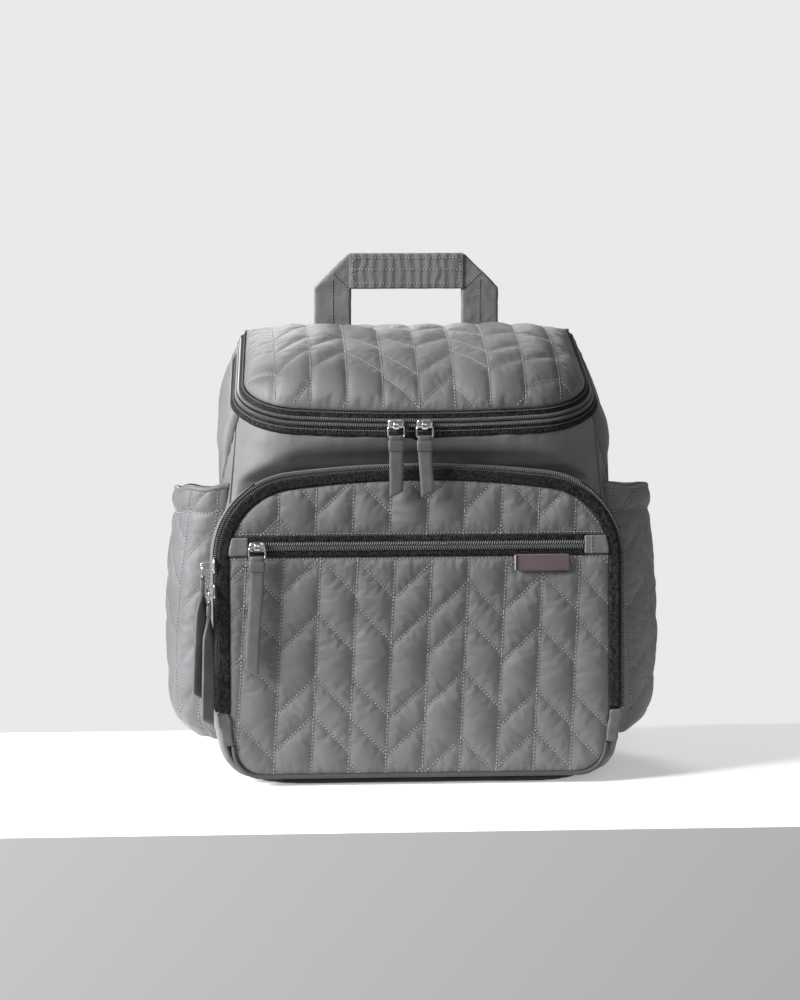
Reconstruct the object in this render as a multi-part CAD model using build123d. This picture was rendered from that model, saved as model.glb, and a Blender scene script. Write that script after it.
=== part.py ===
from build123d import *
import os

# Quilted backpack diaper bag, in millimetres. +Z is up, the front faces -Y, and the origin is on the
# ground in the middle of the base. The bag is a main compartment under a zipped lid, a front compartment
# behind a zipped flap that has its own zip pocket, two open side pockets, a carry handle and two
# shoulder straps. Three frames are used: the bag's own, the rim's (the slanted plane of the lid's zip) and
# the flap's (the leaning plane of the front).

# ---------------------------------------------------------------- driving dimensions
WALL = 4.0                    # padded fabric wall
LINING = 1.0                  # lining cloth
BASE_TOP = 4.0                # thickness of the base board
BODY_HALF_WIDTH = 160.0       # main compartment at mid height
BODY_BACK_Y = 81.0            # outside of the back panel
BODY_FRONT_Y = -45.0          # wall between the two compartments
BODY_BACK_CORNER = 18.0
BASE_HALF_WIDTH = 136.0
BASE_FRONT_Y = -84.0
SIDE_SEAM_Y = -28.0           # seam between the front panel and each side gusset

RIM_MID_Z = 319.0             # height of the rim plane at Y 0
RIM_TILT = 20.45              # degrees that the rim rises towards the back
RIM_HALF_WIDTH = 148.0        # rim outline near the front; it narrows a little to the back
RIM_BACK_HALF_WIDTH = 141.5
RIM_FRONT = -79.0             # foremost point of the rim outline, in the rim's plane
RIM_BULGE = 14.5              # how far the front bows forward between its corners
RIM_CORNER = 56.0
RIM_FLARE = 22.0              # degrees that the body spreads below the rim
LID_CROWN_Z = 362.5

ZIP_TAPE = 1.2                # thickness of zip tape
ZIP_HALF_TEETH = 3.2          # one row of teeth of a closed zip
MESH_GAP = 0.15               # each row stops this far from the zip's centre line
BODY_TAPE_WIDTH = 9.0         # lid zip: centre line to the body's rim
LID_TAPE_WIDTH = 7.0          # lid zip: centre line to the quilted lid

LID_HINGE_Y = 79.0            # the lid folds about the piping on top of the back panel
LID_HINGE_Z = 355.0
LID_PIPING = 2.0

FLAP_FOLD_Y = -90.0           # front flap: fold line
FLAP_FOLD_Z = 60.0
FLAP_TILT = 5.1               # degrees that the front leans back
FLAP_HALF_WIDTH = 154.0       # quilted part of the flap
FLAP_TOP = 187.0              # top of the quilted part above the fold line
FLAP_CROWN = 16.0             # how far the top edge falls towards its corners
FLAP_CORNER = 57.0
FLAP_TAPE_WIDTH = 8.0
FLAP_TEETH_WIDTH = 2.6
FLAP_ZIP_BACK = 12.0          # back edge of the flap's zip, where the gusset begins
GUSSET_TAPER = 3.5            # degrees that the gusset narrows towards the main compartment
QUILT_FRONT = -2.0            # outer face of the quilting, in the flap's frame
QUILT_BACK = 2.5
POCKET_DEPTH = 3.0            # the flap's zip pocket lies flat
FOOT_HALF_WIDTH = 147.0       # quilted foot of the front, at the ground
FOOT_CORNER = 24.0
FOOT_BOTTOM = -51.0           # below the fold line
SKIRT_HALF_WIDTH = 154.0      # gusset around the foot, at the ground

POCKET_ZIP_Z = 133.5          # centre line of the pocket zip above the fold line
POCKET_ZIP_BAND = 15.0        # height of the whole zip between the two quilted parts
POCKET_ZIP_START = -138.0
POCKET_ZIP_END = 133.5

SIDE_POCKET_OUT_X = 205.0     # furthest point of a side pocket
SIDE_POCKET_FRONT_Y = -38.0
SIDE_POCKET_BACK_Y = 72.0
SIDE_POCKET_BOTTOM_Z = 27.0
SIDE_POCKET_TOP_Z = 231.0
HEM_HEIGHT = 20.0

BACK_PAD_THICKNESS = 8.0
HANDLE_HALF_WIDTH = 78.5
HANDLE_POST_INNER = 47.0
HANDLE_TOP_Z = 420.0
HANDLE_BAR_Z = 392.0          # underside of the grip
HANDLE_Y = 91.5
HANDLE_THICKNESS = 5.0
HANDLE_PIVOT_Z = 345.5
STRAP_PIVOT_Y = 93.6
STRAP_PIVOT_Z = 320.5
STRAP_KNUCKLE = 4.2

PULL_WIDTH = 11.0
PULL_THICKNESS = 2.4
RING_WIRE = 0.7
RING_HALF_WIDTH = 6.5
RING_DROP = 9.0
PIN_CLEARANCE = 0.08
SLIDER_GAP = 0.3              # slider in front of its teeth
BAR_OFFSET = 5.4              # ring's bar in front of the teeth
HIGH_BAR_OFFSET = 10.4        # on the slider whose pull hangs over another's
LID_PULL_LENGTH = 48.0
LONG_PULL_LENGTH = 90.0
LID_SLIDER_X = {"left": -19.0, "right": 4.0}
FLAP_SLIDER_Z = {"upper": 118.5, "lower": 98.0}
POCKET_SLIDER_X = -131.0

FAR = 400.0                   # larger than the bag, for cutting tools


# ---------------------------------------------------------------- small helpers
def block(x, y, z):
    """A box between pairs of X, Y and Z."""
    size = [abs(b - a) for a, b in (x, y, z)]
    centre = [(a + b) / 2 for a, b in (x, y, z)]
    return Pos(*centre) * Box(*size)


def wide_block(y=(-FAR, FAR), z=(-FAR, FAR)):
    return block((-FAR, FAR), y, z)


def plan_prism(face, low=0.0, high=FAR):
    """A face drawn in plan, extruded upwards."""
    return extrude(Plane.XY.offset(low) * face, high - low)


def front_prism(face, front=-FAR, back=FAR):
    """A face drawn in X and Z, extruded along Y between two depths."""
    return extrude(Plane.XZ.offset(-back) * face, back - front)


def side_prism(face, half_width=FAR):
    """A face drawn in Y and Z, extruded both ways along X."""
    return extrude(Plane.YZ * face, half_width, both=True)


def outline(*edges):
    return make_face(Curve() + list(edges))


def polygon(*points):
    return make_face(Polyline(*points, close=True))


def rod(centre_y, centre_z, radius, length):
    """A round bar along X."""
    return Pos(0, centre_y, centre_z) * Rot(0, 90, 0) * Cylinder(radius, length)


def mirrored(shape):
    return shape.mirror(Plane.YZ)


def in_rim_frame(shape):
    return Pos(0, 0, RIM_MID_Z) * Rot(RIM_TILT, 0, 0) * shape


def in_flap_frame(shape):
    return Pos(0, FLAP_FOLD_Y, FLAP_FOLD_Z) * Rot(-FLAP_TILT, 0, 0) * shape


def save(node, *shapes):
    """Writes every solid of the shapes as one node."""
    solids = [solid for shape in shapes for solid in shape.solids()]
    export_step(Compound(children=solids), f"parts/{node}.step")


# ---------------------------------------------------------------- main compartment
def rim_outline(inset):
    """The rim in its own plane: a front that bows forward, round corners and sides that draw in."""
    half, front, back = RIM_HALF_WIDTH - inset, RIM_FRONT + inset, 130.0
    back_half = RIM_BACK_HALF_WIDTH - inset
    face = outline(
        ThreePointArc((-half, front + RIM_BULGE), (0, front), (half, front + RIM_BULGE)),
        Line((half, front + RIM_BULGE), (back_half, back)),
        Line((back_half, back), (-back_half, back)),
        Line((-back_half, back), (-half, front + RIM_BULGE)),
    )
    return fillet(face.vertices().sort_by(Axis.Y)[:2], RIM_CORNER - inset)


def body_solid(inset):
    """The main compartment as a full solid, with every wall moved in by inset."""
    mouth = Plane.XY.offset(-BODY_TAPE_WIDTH) * rim_outline(inset)
    flared = in_rim_frame(extrude(mouth, -FAR, taper=-RIM_FLARE))
    half, foot = BODY_HALF_WIDTH - inset, BASE_HALF_WIDTH - inset
    right = [(foot, BASE_TOP), (foot + 14, 20), (half, 100), (half, 250), (half - 2, FAR)]
    front = polygon(*right, *((-x, z) for x, z in reversed(right)))
    side = polygon((BODY_FRONT_Y + inset, BASE_TOP), (FAR, BASE_TOP), (FAR, FAR), (-95 + inset, FAR),
                   (-72 + inset, 283), (-58 + inset, 256), (BODY_FRONT_Y + inset, 243))
    plan = polygon((-half, -FAR), (half, -FAR), (half, BODY_BACK_Y - inset), (-half, BODY_BACK_Y - inset))
    plan = fillet(plan.vertices().group_by(Axis.Y)[-1], BODY_BACK_CORNER - inset)
    return flared & front_prism(front) & side_prism(side) & plan_prism(plan)


def main_compartment():
    """Panels that meet at their seams, the lining and a slip pocket on the back wall."""
    outer, inner = body_solid(0.0), body_solid(WALL)
    shell = (outer - inner) & wide_block(z=(BASE_TOP, FAR))
    back_seam = BODY_BACK_Y - WALL
    riser = block((-138, 138), (back_seam, BODY_BACK_Y), (330, LID_HINGE_Z - LID_PIPING))
    save("back_panel", (shell & wide_block(y=(back_seam, FAR))) + riser)
    save("main_front_panel", shell & wide_block(y=(-FAR, SIDE_SEAM_Y)))
    gussets = shell & wide_block(y=(SIDE_SEAM_Y, back_seam))
    save("left_gusset", gussets & block((-FAR, 0), (-FAR, FAR), (0, FAR)))
    save("right_gusset", gussets & block((0, FAR), (-FAR, FAR), (0, FAR)))
    lined = body_solid(WALL + LINING) & wide_block(z=(BASE_TOP + LINING, FAR))
    save("main_lining", inner - lined)

    wall = BODY_BACK_Y - WALL - LINING
    pouch = block((-105, 105), (wall - 10, wall), (70, 200))
    save("inner_slip_pocket", pouch - block((-103, 103), (wall - 8.5, wall), (72, 200)))

    pad_face = Pos(0, 182) * RectangleRounded(262, 286, 24)
    save("back_pad", front_prism(pad_face, BODY_BACK_Y, BODY_BACK_Y + BACK_PAD_THICKNESS))
    base = polygon((-BASE_HALF_WIDTH, BASE_FRONT_Y), (BASE_HALF_WIDTH, BASE_FRONT_Y),
                   (BASE_HALF_WIDTH, BODY_BACK_Y), (-BASE_HALF_WIDTH, BODY_BACK_Y))
    corners = base.vertices().group_by(Axis.Y)
    base = fillet(corners[0], 40.0)
    base = fillet(base.vertices().group_by(Axis.Y)[-1], BODY_BACK_CORNER)
    save("base_panel", plan_prism(base, 0.0, BASE_TOP))
    return outer


# ---------------------------------------------------------------- lid and its zip
def lid_solid(inset):
    """The lid as a full solid above its zip, moved in by inset."""
    top, back = LID_CROWN_Z - inset, BODY_BACK_Y - 0.5 - inset
    nose_y, nose_z = -78.0 + inset, 298.0
    side = outline(
        ThreePointArc((nose_y, nose_z), (-63.0 + 0.7 * inset, 320.0 - 0.7 * inset), (-32.0, 340.0 - inset)),
        ThreePointArc((-32.0, 340.0 - inset), (20.0, 356.0 - inset), (back, top - 2.5)),
        Line((back, top - 2.5), (back, 250.0)),
        Line((back, 250.0), (nose_y, 250.0)),
        Line((nose_y, 250.0), (nose_y, nose_z)),
    )
    half = RIM_HALF_WIDTH - inset
    front = outline(
        ThreePointArc((half, 320.0), (half - 12.0, 348.0 - inset), (98.0, top)),
        Line((98.0, top), (-98.0, top)),
        ThreePointArc((-98.0, top), (12.0 - half, 348.0 - inset), (-half, 320.0)),
        Line((-half, 320.0), (-half, 250.0)),
        Line((-half, 250.0), (half, 250.0)),
        Line((half, 250.0), (half, 320.0)),
    )
    above_zip = in_rim_frame(plan_prism(rim_outline(inset), LID_TAPE_WIDTH, FAR))
    return above_zip & side_prism(side) & front_prism(front)


def lid_and_zip():
    hinge_room = rod(LID_HINGE_Y, LID_HINGE_Z, LID_PIPING + 0.5, 2 * FAR)
    hinge_room += wide_block(y=(LID_HINGE_Y - 4.0, FAR), z=(0, LID_HINGE_Z + LID_PIPING + 0.5))
    quilt, lining = lid_solid(0.5), lid_solid(WALL + 1.0)
    save("lid_quilt", quilt - lining - hinge_room)
    save("lid_lining", lining - lid_solid(WALL + 1.0 + LINING) - hinge_room)

    ahead_of_hinge = wide_block(y=(-FAR, LID_HINGE_Y - 4.0))
    tape_ring = rim_outline(1.0) - rim_outline(1.0 + ZIP_TAPE)
    teeth_ring = rim_outline(0.0) - rim_outline(2.4)
    strips = {
        "lid_zip_body_tape": (tape_ring, -BODY_TAPE_WIDTH, -ZIP_HALF_TEETH),
        "lid_zip_body_teeth": (teeth_ring, -ZIP_HALF_TEETH, -MESH_GAP),
        "lid_zip_lid_teeth": (teeth_ring, MESH_GAP, ZIP_HALF_TEETH),
        "lid_zip_lid_tape": (tape_ring, ZIP_HALF_TEETH, LID_TAPE_WIDTH),
    }
    for node, (ring, low, high) in strips.items():
        save(node, in_rim_frame(plan_prism(ring, low, high)) & ahead_of_hinge)
    save("lid_hinge_piping", rod(LID_HINGE_Y, LID_HINGE_Z, LID_PIPING, 276))


# ---------------------------------------------------------------- front flap and its zip
def arch(grow, bottom=0.5):
    """The flap's outline, grown outwards: straight sides, round shoulders and a crowned top."""
    half, top = FLAP_HALF_WIDTH + grow, FLAP_TOP + grow
    shoulder = top - FLAP_CROWN
    face = outline(
        ThreePointArc((-half, shoulder), (0, top), (half, shoulder)),
        Line((half, shoulder), (half, bottom)),
        Line((half, bottom), (-half, bottom)),
        Line((-half, bottom), (-half, shoulder)),
    )
    return fillet(face.vertices().sort_by(Axis.Y)[-2:], FLAP_CORNER + grow)


def foot_outline(half_top, half_bottom, bottom, top):
    """The front below the fold line, narrowing to round bottom corners, and straight up to top above it."""
    face = polygon((-half_top, top), (half_top, top), (half_top, 0), (half_bottom, bottom),
                   (-half_bottom, bottom), (-half_top, 0))
    return fillet(face.vertices().sort_by(Axis.Y)[:2], FOOT_CORNER)


def quilted_foot():
    return foot_outline(FLAP_HALF_WIDTH, FOOT_HALF_WIDTH, FOOT_BOTTOM, 1.0)


def skirt_outline(inset, top=1.0):
    """The gusset's section around the foot."""
    half = FLAP_HALF_WIDTH + FLAP_TAPE_WIDTH + FLAP_TEETH_WIDTH
    return foot_outline(half - inset, SKIRT_HALF_WIDTH - inset, FOOT_BOTTOM - 3.0 + inset, top)


def front_flap():
    quilt = front_prism(arch(0.0), QUILT_FRONT, QUILT_BACK)
    low, high = POCKET_ZIP_Z - POCKET_ZIP_BAND / 2, POCKET_ZIP_Z + POCKET_ZIP_BAND / 2
    save("pocket_quilt", in_flap_frame(quilt & wide_block(z=(0, low))))
    save("flap_upper_quilt", in_flap_frame(quilt & wide_block(z=(high, FAR))))

    pocket_back = QUILT_BACK + POCKET_DEPTH
    tray = front_prism(arch(0.0), QUILT_BACK, pocket_back + 1.5)
    tray -= front_prism(arch(-3.0, bottom=3.5), QUILT_BACK, pocket_back)
    save("flap_pocket_lining", in_flap_frame(tray))

    tape_edge = FLAP_TAPE_WIDTH
    teeth_edge = FLAP_TAPE_WIDTH + FLAP_TEETH_WIDTH
    tape = arch(tape_edge) - arch(0.0, bottom=0.0)
    teeth = arch(teeth_edge) - arch(tape_edge, bottom=0.0)
    body_tape = arch(tape_edge + 2.2) - arch(tape_edge + 1.0, bottom=0.0)
    strips = {
        "flap_zip_flap_tape": (tape, 0.0, ZIP_TAPE),
        "flap_zip_flap_teeth": (teeth, -0.8, 2.2),
        "flap_zip_body_teeth": (teeth, 2.5, 5.5),
        "flap_zip_body_tape": (body_tape, 5.5, FLAP_ZIP_BACK),
    }
    for node, (face, front, back) in strips.items():
        save(node, in_flap_frame(front_prism(face, front, back)))


def pocket_zip():
    low, high = POCKET_ZIP_Z - POCKET_ZIP_BAND / 2, POCKET_ZIP_Z + POCKET_ZIP_BAND / 2
    run = (POCKET_ZIP_START, POCKET_ZIP_END)
    rows = {
        "pocket_zip_tapes": ((0.0, ZIP_TAPE), (low, POCKET_ZIP_Z - ZIP_HALF_TEETH),
                             (POCKET_ZIP_Z + ZIP_HALF_TEETH, high)),
        "pocket_zip_teeth": ((-1.0, 1.5), (POCKET_ZIP_Z - ZIP_HALF_TEETH, POCKET_ZIP_Z - MESH_GAP),
                             (POCKET_ZIP_Z + MESH_GAP, POCKET_ZIP_Z + ZIP_HALF_TEETH)),
    }
    for node, (y, lower, upper) in rows.items():
        save(node, *(in_flap_frame(block(run, y, z)) for z in (lower, upper)))
    band = front_prism(arch(0.0), -1.0, QUILT_BACK) & wide_block(z=(low, high))
    ends = band - block(run, (-FAR, FAR), (0, FAR))
    save("pocket_zip_end_tabs", in_flap_frame(ends))
    label = block((77.0, 121.5), (QUILT_FRONT - 0.9, QUILT_FRONT), (112.5, 126.0))
    save("blank_label", in_flap_frame(label))


def front_compartment(main_outer):
    """Gusset around the compartment, the fixed foot of the front and its edge trims."""
    edge = FLAP_TAPE_WIDTH + FLAP_TEETH_WIDTH
    depth = 110.0

    def compartment(inset):
        """From the zip back into the main compartment, narrowing as it goes."""
        section = (arch(edge - inset, bottom=20.0) + skirt_outline(inset, top=20.0)).clean()
        rim = Plane.XZ.offset(-FLAP_ZIP_BACK) * section
        return in_flap_frame(extrude(rim, -depth, taper=GUSSET_TAPER))

    gusset = (compartment(0.0) - compartment(WALL)) & wide_block(y=(-FAR, 0.0), z=(BASE_TOP, FAR))
    gusset -= main_outer
    save("front_gusset", *gusset.solids().sort_by(Axis.Y)[:1])

    foot = front_prism(quilted_foot(), QUILT_FRONT, FLAP_ZIP_BACK) & wide_block(z=(-FAR, -0.5))
    save("front_foot_quilt", in_flap_frame(foot))
    covers = front_prism(skirt_outline(0.0) - quilted_foot(), -1.0, FLAP_ZIP_BACK)
    covers &= wide_block(z=(FOOT_BOTTOM + FOOT_CORNER, -0.5))
    save("flap_zip_end_covers", in_flap_frame(covers))

    cord = 1.6
    half_top, half, low = FLAP_HALF_WIDTH - 1.0, FOOT_HALF_WIDTH + 1.0, FOOT_BOTTOM - 1.0
    high = FOOT_BOTTOM + FOOT_CORNER
    corners = [(-half_top + 2, -2.0, high), (-half, -2.0, low), (half, -2.0, low), (half_top - 2, -2.0, high)]
    path = FilletPolyline(*corners, radius=FOOT_CORNER - 2)
    profile = Plane(origin=path @ 0, z_dir=path % 0) * Circle(cord)
    room = front_prism(quilted_foot(), QUILT_FRONT - FAR, FLAP_ZIP_BACK)
    room += front_prism(skirt_outline(0.0) - quilted_foot(), -1.0, FLAP_ZIP_BACK)
    save("base_piping", in_flap_frame(sweep(profile, path=path) - room))
    return in_flap_frame(extrude(Plane.XZ.offset(-FLAP_ZIP_BACK) * arch(edge, bottom=-80.0), -depth,
                                 taper=GUSSET_TAPER))


# ---------------------------------------------------------------- side pockets
def side_pocket_solid(inset, top):
    """The right pocket as a full solid: a half round in plan that narrows to its bottom."""
    front, back = SIDE_POCKET_FRONT_Y + inset, SIDE_POCKET_BACK_Y - inset
    out = SIDE_POCKET_OUT_X - inset
    plan = outline(
        Line((120.0, front), (150.0, front)),
        ThreePointArc((150.0, front), (out, (front + back) / 2), (150.0, back)),
        Line((150.0, back), (120.0, back)),
        Line((120.0, back), (120.0, front)),
    )
    low = SIDE_POCKET_BOTTOM_Z + inset
    profile = outline(
        Line((120.0, low), (out - 24.0, low)),
        ThreePointArc((out - 24.0, low), (out - 8.5, low + 9.0), (out - 3.0, low + 34.0)),
        Line((out - 3.0, low + 34.0), (out, 115.0)),
        Line((out, 115.0), (out - 7.0, top)),
        Line((out - 7.0, top), (120.0, top)),
        Line((120.0, top), (120.0, low)),
    )
    return plan_prism(plan) & front_prism(profile)


def side_pockets(main_outer, gusset_outer):
    top = SIDE_POCKET_TOP_Z
    shell = side_pocket_solid(0.0, top) - side_pocket_solid(WALL, top + 1.0)
    shell = shell - main_outer - gusset_outer
    hem_zone = wide_block(z=(top - HEM_HEIGHT, FAR))
    for name, solid in {"pocket": shell - hem_zone, "pocket_hem": shell & hem_zone}.items():
        save(f"right_side_{name}", solid)
        save(f"left_side_{name}", mirrored(solid))


# ---------------------------------------------------------------- handle and shoulder straps
def handle():
    half, inner, top, bar = HANDLE_HALF_WIDTH, HANDLE_POST_INNER, HANDLE_TOP_Z, HANDLE_BAR_Z
    fold = top - bar
    right = [(half, HANDLE_PIVOT_Z), (half, bar), (half - fold, top)]
    left = [(-x, z) for x, z in reversed(right)]
    underside = [(-inner, HANDLE_PIVOT_Z), (-inner, bar), (inner, bar), (inner, HANDLE_PIVOT_Z)]
    front, back = HANDLE_Y - HANDLE_THICKNESS / 2, HANDLE_Y + HANDLE_THICKNESS / 2
    strap = front_prism(polygon(*right, *left, *underside), front, back)
    post = block((inner, half), (front, back), (HANDLE_PIVOT_Z, bar))
    knuckle = Pos((inner + half) / 2, 0, 0) * rod(HANDLE_Y, HANDLE_PIVOT_Z, HANDLE_THICKNESS / 2, half - inner)
    strap += post + knuckle + mirrored(knuckle)
    save("handle_strap", strap)
    sleeve = block((-49, 49), (front - 1.2, back + 1.2), (bar - 1.2, top + 1.2))
    save("handle_grip", sleeve - strap)
    anchor_top = HANDLE_PIVOT_Z - HANDLE_THICKNESS / 2 - 0.4
    anchor = block((inner, half), (BODY_BACK_Y, back), (333.0, anchor_top))
    save("handle_anchors", anchor, mirrored(anchor))


def band(points, thickness):
    """A curved strip seen from the side: an arc through three (Y, Z) points, thickened towards the bag."""
    inner = [(y - thickness, z) for y, z in points]
    return outline(ThreePointArc(*points), Line(points[2], inner[2]), ThreePointArc(*reversed(inner)),
                   Line(inner[0], points[0]))


def shoulder_straps():
    """The right strap and its fittings, mirrored for the left."""
    top, bottom = STRAP_PIVOT_Z, 132.0
    pad_side = band([(98.0, top), (126.0, 225.0), (112.0, bottom)], 9.0)
    pad_front = outline(
        ThreePointArc((24.0, top + 8), (42.0, 225.0), (62.0, bottom)),
        Line((62.0, bottom), (104.0, bottom)),
        ThreePointArc((104.0, bottom), (97.0, 225.0), (76.0, top + 8)),
        Line((76.0, top + 8), (24.0, top + 8)),
    )
    pad = (side_prism(pad_side) & front_prism(pad_front))
    knuckle = Pos(50, 0, 0) * rod(STRAP_PIVOT_Y, STRAP_PIVOT_Z, STRAP_KNUCKLE, 48)

    lock_x, lock_z, lock_y = 83.0, 117.0, 106.5
    web = 12.5
    slot_pitch, slot_half, slot_length = 5.6, 1.7, 27.0
    frame = Pos(lock_x, lock_z) * RectangleRounded(34, 22, 3)
    for row in (-1, 0, 1):
        frame -= Pos(lock_x, lock_z + row * slot_pitch) * RectangleRounded(slot_length, 2 * slot_half, 1.2)
    lock_half = 2.2
    lock = front_prism(frame, lock_y - lock_half, lock_y + lock_half)

    span = (lock_x - web, lock_x + web)
    loop_bottom = lock_z + slot_pitch - slot_half + 0.2
    loop = block(span, (lock_y - 4.0, lock_y + 4.0), (loop_bottom, bottom + 3.0))
    loop -= block(span, (lock_y - 2.5, lock_y + 2.5), (loop_bottom + 1.5, bottom + 3.0))
    pad = pad + knuckle + loop

    web_side = band([(107.3, lock_z - 11.0), (101.0, 72.0), (91.0, 39.0)], 1.6)
    web_front = polygon((span[0], 108.0), (span[1], 108.0), (127.0, 38.0), (102.0, 38.0))
    tail_side = band([(112.0, lock_z - 11.0), (115.0, 75.0), (111.0, 46.0)], 1.6)
    tail_front = polygon((71, 108), (95, 108), (97, 45), (73, 45))
    webbing = side_prism(web_side) & front_prism(web_front)
    tail = side_prism(tail_side) & front_prism(tail_front)
    for side, place in {"right": lambda shape: shape, "left": mirrored}.items():
        save(f"{side}_strap_pad", place(pad))
        save(f"{side}_ladder_lock", place(lock))
        save(f"{side}_strap_webbing", place(webbing), place(tail))

    anchor_face = polygon((98, 12), (131, 12), (127, 37), (102, 37))
    anchor = front_prism(anchor_face, BODY_BACK_Y, BODY_BACK_Y + 10.0)
    save("strap_anchors", anchor, mirrored(anchor))
    yoke = block((24, 76), (BODY_BACK_Y, 96.5), (STRAP_PIVOT_Z + STRAP_KNUCKLE + 0.6, 332.0))
    save("strap_yokes", yoke, mirrored(yoke))


# ---------------------------------------------------------------- zip sliders and pulls
def slider(length, width, bar_offset):
    """In its own frame it faces -Y, its back is on the teeth, and the ring's bar lies along X."""
    plate = extrude(Plane.XZ.offset(SLIDER_GAP) * RectangleRounded(length, width, 2.6), 1.5)
    bridge = block((-2.6, 2.6), (-bar_offset - 1.7, -1.5), (-1.9, 1.9))
    bridge = fillet(bridge.edges().filter_by(Axis.X).group_by(Axis.Y)[0], 1.5)
    bore = rod(-bar_offset, 0, RING_WIRE + PIN_CLEARANCE, 8)
    return plate + bridge - bore


def pull_ring():
    """A wire ring about the origin: a straight bar for the slider's bridge, and a U that hangs from it."""
    half, drop = RING_HALF_WIDTH, RING_DROP
    path = FilletPolyline((-half, 0, 0), (-half, 0, -drop), (half, 0, -drop), (half, 0, 0), radius=0.8)
    profile = Plane(origin=path @ 0, z_dir=path % 0) * Circle(RING_WIRE)
    knuckle = Sphere(RING_WIRE)
    return rod(0, 0, RING_WIRE, 2 * half) + sweep(profile, path=path) + Pos(-half, 0, 0) * knuckle \
        + Pos(half, 0, 0) * knuckle


def pull_tab(length):
    """A strip folded over the ring, and the keeper that holds its two layers together."""
    half, top, thick = PULL_WIDTH / 2, -RING_DROP, PULL_THICKNESS / 2
    strip = front_prism(polygon((-half, top), (half, top), (half, top - length + 5), (-half, top - length)),
                        -thick, thick)
    strip = strip + rod(0, top, 1.7, PULL_WIDTH) - rod(0, top, RING_WIRE + PIN_CLEARANCE, 2 * PULL_WIDTH)
    sleeve = block((-half - 0.8, half + 0.8), (-2.0, 2.0), (top - 11.0, top - 2.5))
    return [strip, sleeve - block((-half, half), (-thick, thick), (top - 12.0, top))]


def slider_set(name, slider_place, hang, size, pull_length, bar_offset=BAR_OFFSET):
    """The slider at its place on the zip. Its ring and pull hang in the direction that hang turns them."""
    save(f"{name}_slider", slider_place * slider(*size, bar_offset))
    bar = (slider_place * Pos(0, -bar_offset, 0)).position
    pull_place = Pos(*bar) * hang
    save(f"{name}_ring", pull_place * pull_ring())
    save(f"{name}_pull", *(pull_place * shape for shape in pull_tab(pull_length)))


def sliders():
    rim = Pos(0, 0, RIM_MID_Z) * Rot(RIM_TILT, 0, 0)
    bow = RIM_HALF_WIDTH ** 2 / (2 * RIM_BULGE) + RIM_BULGE / 2
    for side, x in LID_SLIDER_X.items():
        place = rim * Pos(x, RIM_FRONT + x * x / (2 * bow), 0)
        slider_set(f"lid_zip_{side}", place, Rot(0, 0, 0), (13.0, 8.6), LID_PULL_LENGTH)

    flap = Pos(0, FLAP_FOLD_Y, FLAP_FOLD_Z) * Rot(-FLAP_TILT, 0, 0)
    edge = FLAP_HALF_WIDTH + FLAP_TAPE_WIDTH + FLAP_TEETH_WIDTH
    zip_middle = 2.35
    sideways = Rot(-FLAP_TILT, 0, 0) * Rot(0, 0, -90)
    for level, z in FLAP_SLIDER_Z.items():
        place = flap * Pos(-edge, zip_middle, z) * Rot(0, 0, -90)
        bar_offset = HIGH_BAR_OFFSET if level == "upper" else BAR_OFFSET
        slider_set(f"flap_zip_{level}", place, sideways, (8.6, 13.0), LONG_PULL_LENGTH, bar_offset)

    place = flap * Pos(POCKET_SLIDER_X, -1.0, POCKET_ZIP_Z)
    slider_set("pocket_zip", place, Rot(-FLAP_TILT, 0, 0), (13.0, 8.6), LONG_PULL_LENGTH)


def main():
    os.makedirs("parts", exist_ok=True)
    main_outer = main_compartment()
    lid_and_zip()
    front_flap()
    pocket_zip()
    gusset_outer = front_compartment(main_outer)
    side_pockets(main_outer, gusset_outer)
    handle()
    shoulder_straps()
    sliders()


main()
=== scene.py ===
import math
import bmesh
import bpy
import numpy as np
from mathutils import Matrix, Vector
from mathutils.bvhtree import BVHTree
from mathutils.geometry import delaunay_2d_cdt


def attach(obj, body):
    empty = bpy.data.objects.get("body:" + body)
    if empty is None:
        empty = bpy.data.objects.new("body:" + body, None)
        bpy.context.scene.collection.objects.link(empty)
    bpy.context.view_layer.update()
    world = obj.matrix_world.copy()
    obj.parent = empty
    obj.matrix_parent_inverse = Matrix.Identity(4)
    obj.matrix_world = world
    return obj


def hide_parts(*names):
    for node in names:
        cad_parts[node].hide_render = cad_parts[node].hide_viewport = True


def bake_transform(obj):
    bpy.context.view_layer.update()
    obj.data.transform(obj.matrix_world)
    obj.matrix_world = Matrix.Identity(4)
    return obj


# Looks of the quilted backpack diaper bag. Shapes are worked out in millimetres in the part's own frame and
# turned into metres when a mesh is made. +Z is up and the front faces -Y.

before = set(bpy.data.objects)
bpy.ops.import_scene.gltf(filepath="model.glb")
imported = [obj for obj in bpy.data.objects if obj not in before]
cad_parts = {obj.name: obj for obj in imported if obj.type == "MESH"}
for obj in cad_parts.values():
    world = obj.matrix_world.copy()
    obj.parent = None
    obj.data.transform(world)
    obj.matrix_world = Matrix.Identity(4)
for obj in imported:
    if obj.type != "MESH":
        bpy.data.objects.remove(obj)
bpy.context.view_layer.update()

MM = 0.001
SIM_UNIT = 0.01               # millimetres to the units that the cloth solver works in
THREAD = 0.31                 # radius of sewing thread
STITCH_PITCH, STITCH_LENGTH = 2.9, 1.95
FINE_TEETH, WIDE_TEETH = 1.8, 1.9   # spacing of the coils' loops on the two long zips and on the pocket's
RIM_LEAN = 0.6                # how the band of the lid's zip slopes in towards its top

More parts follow.
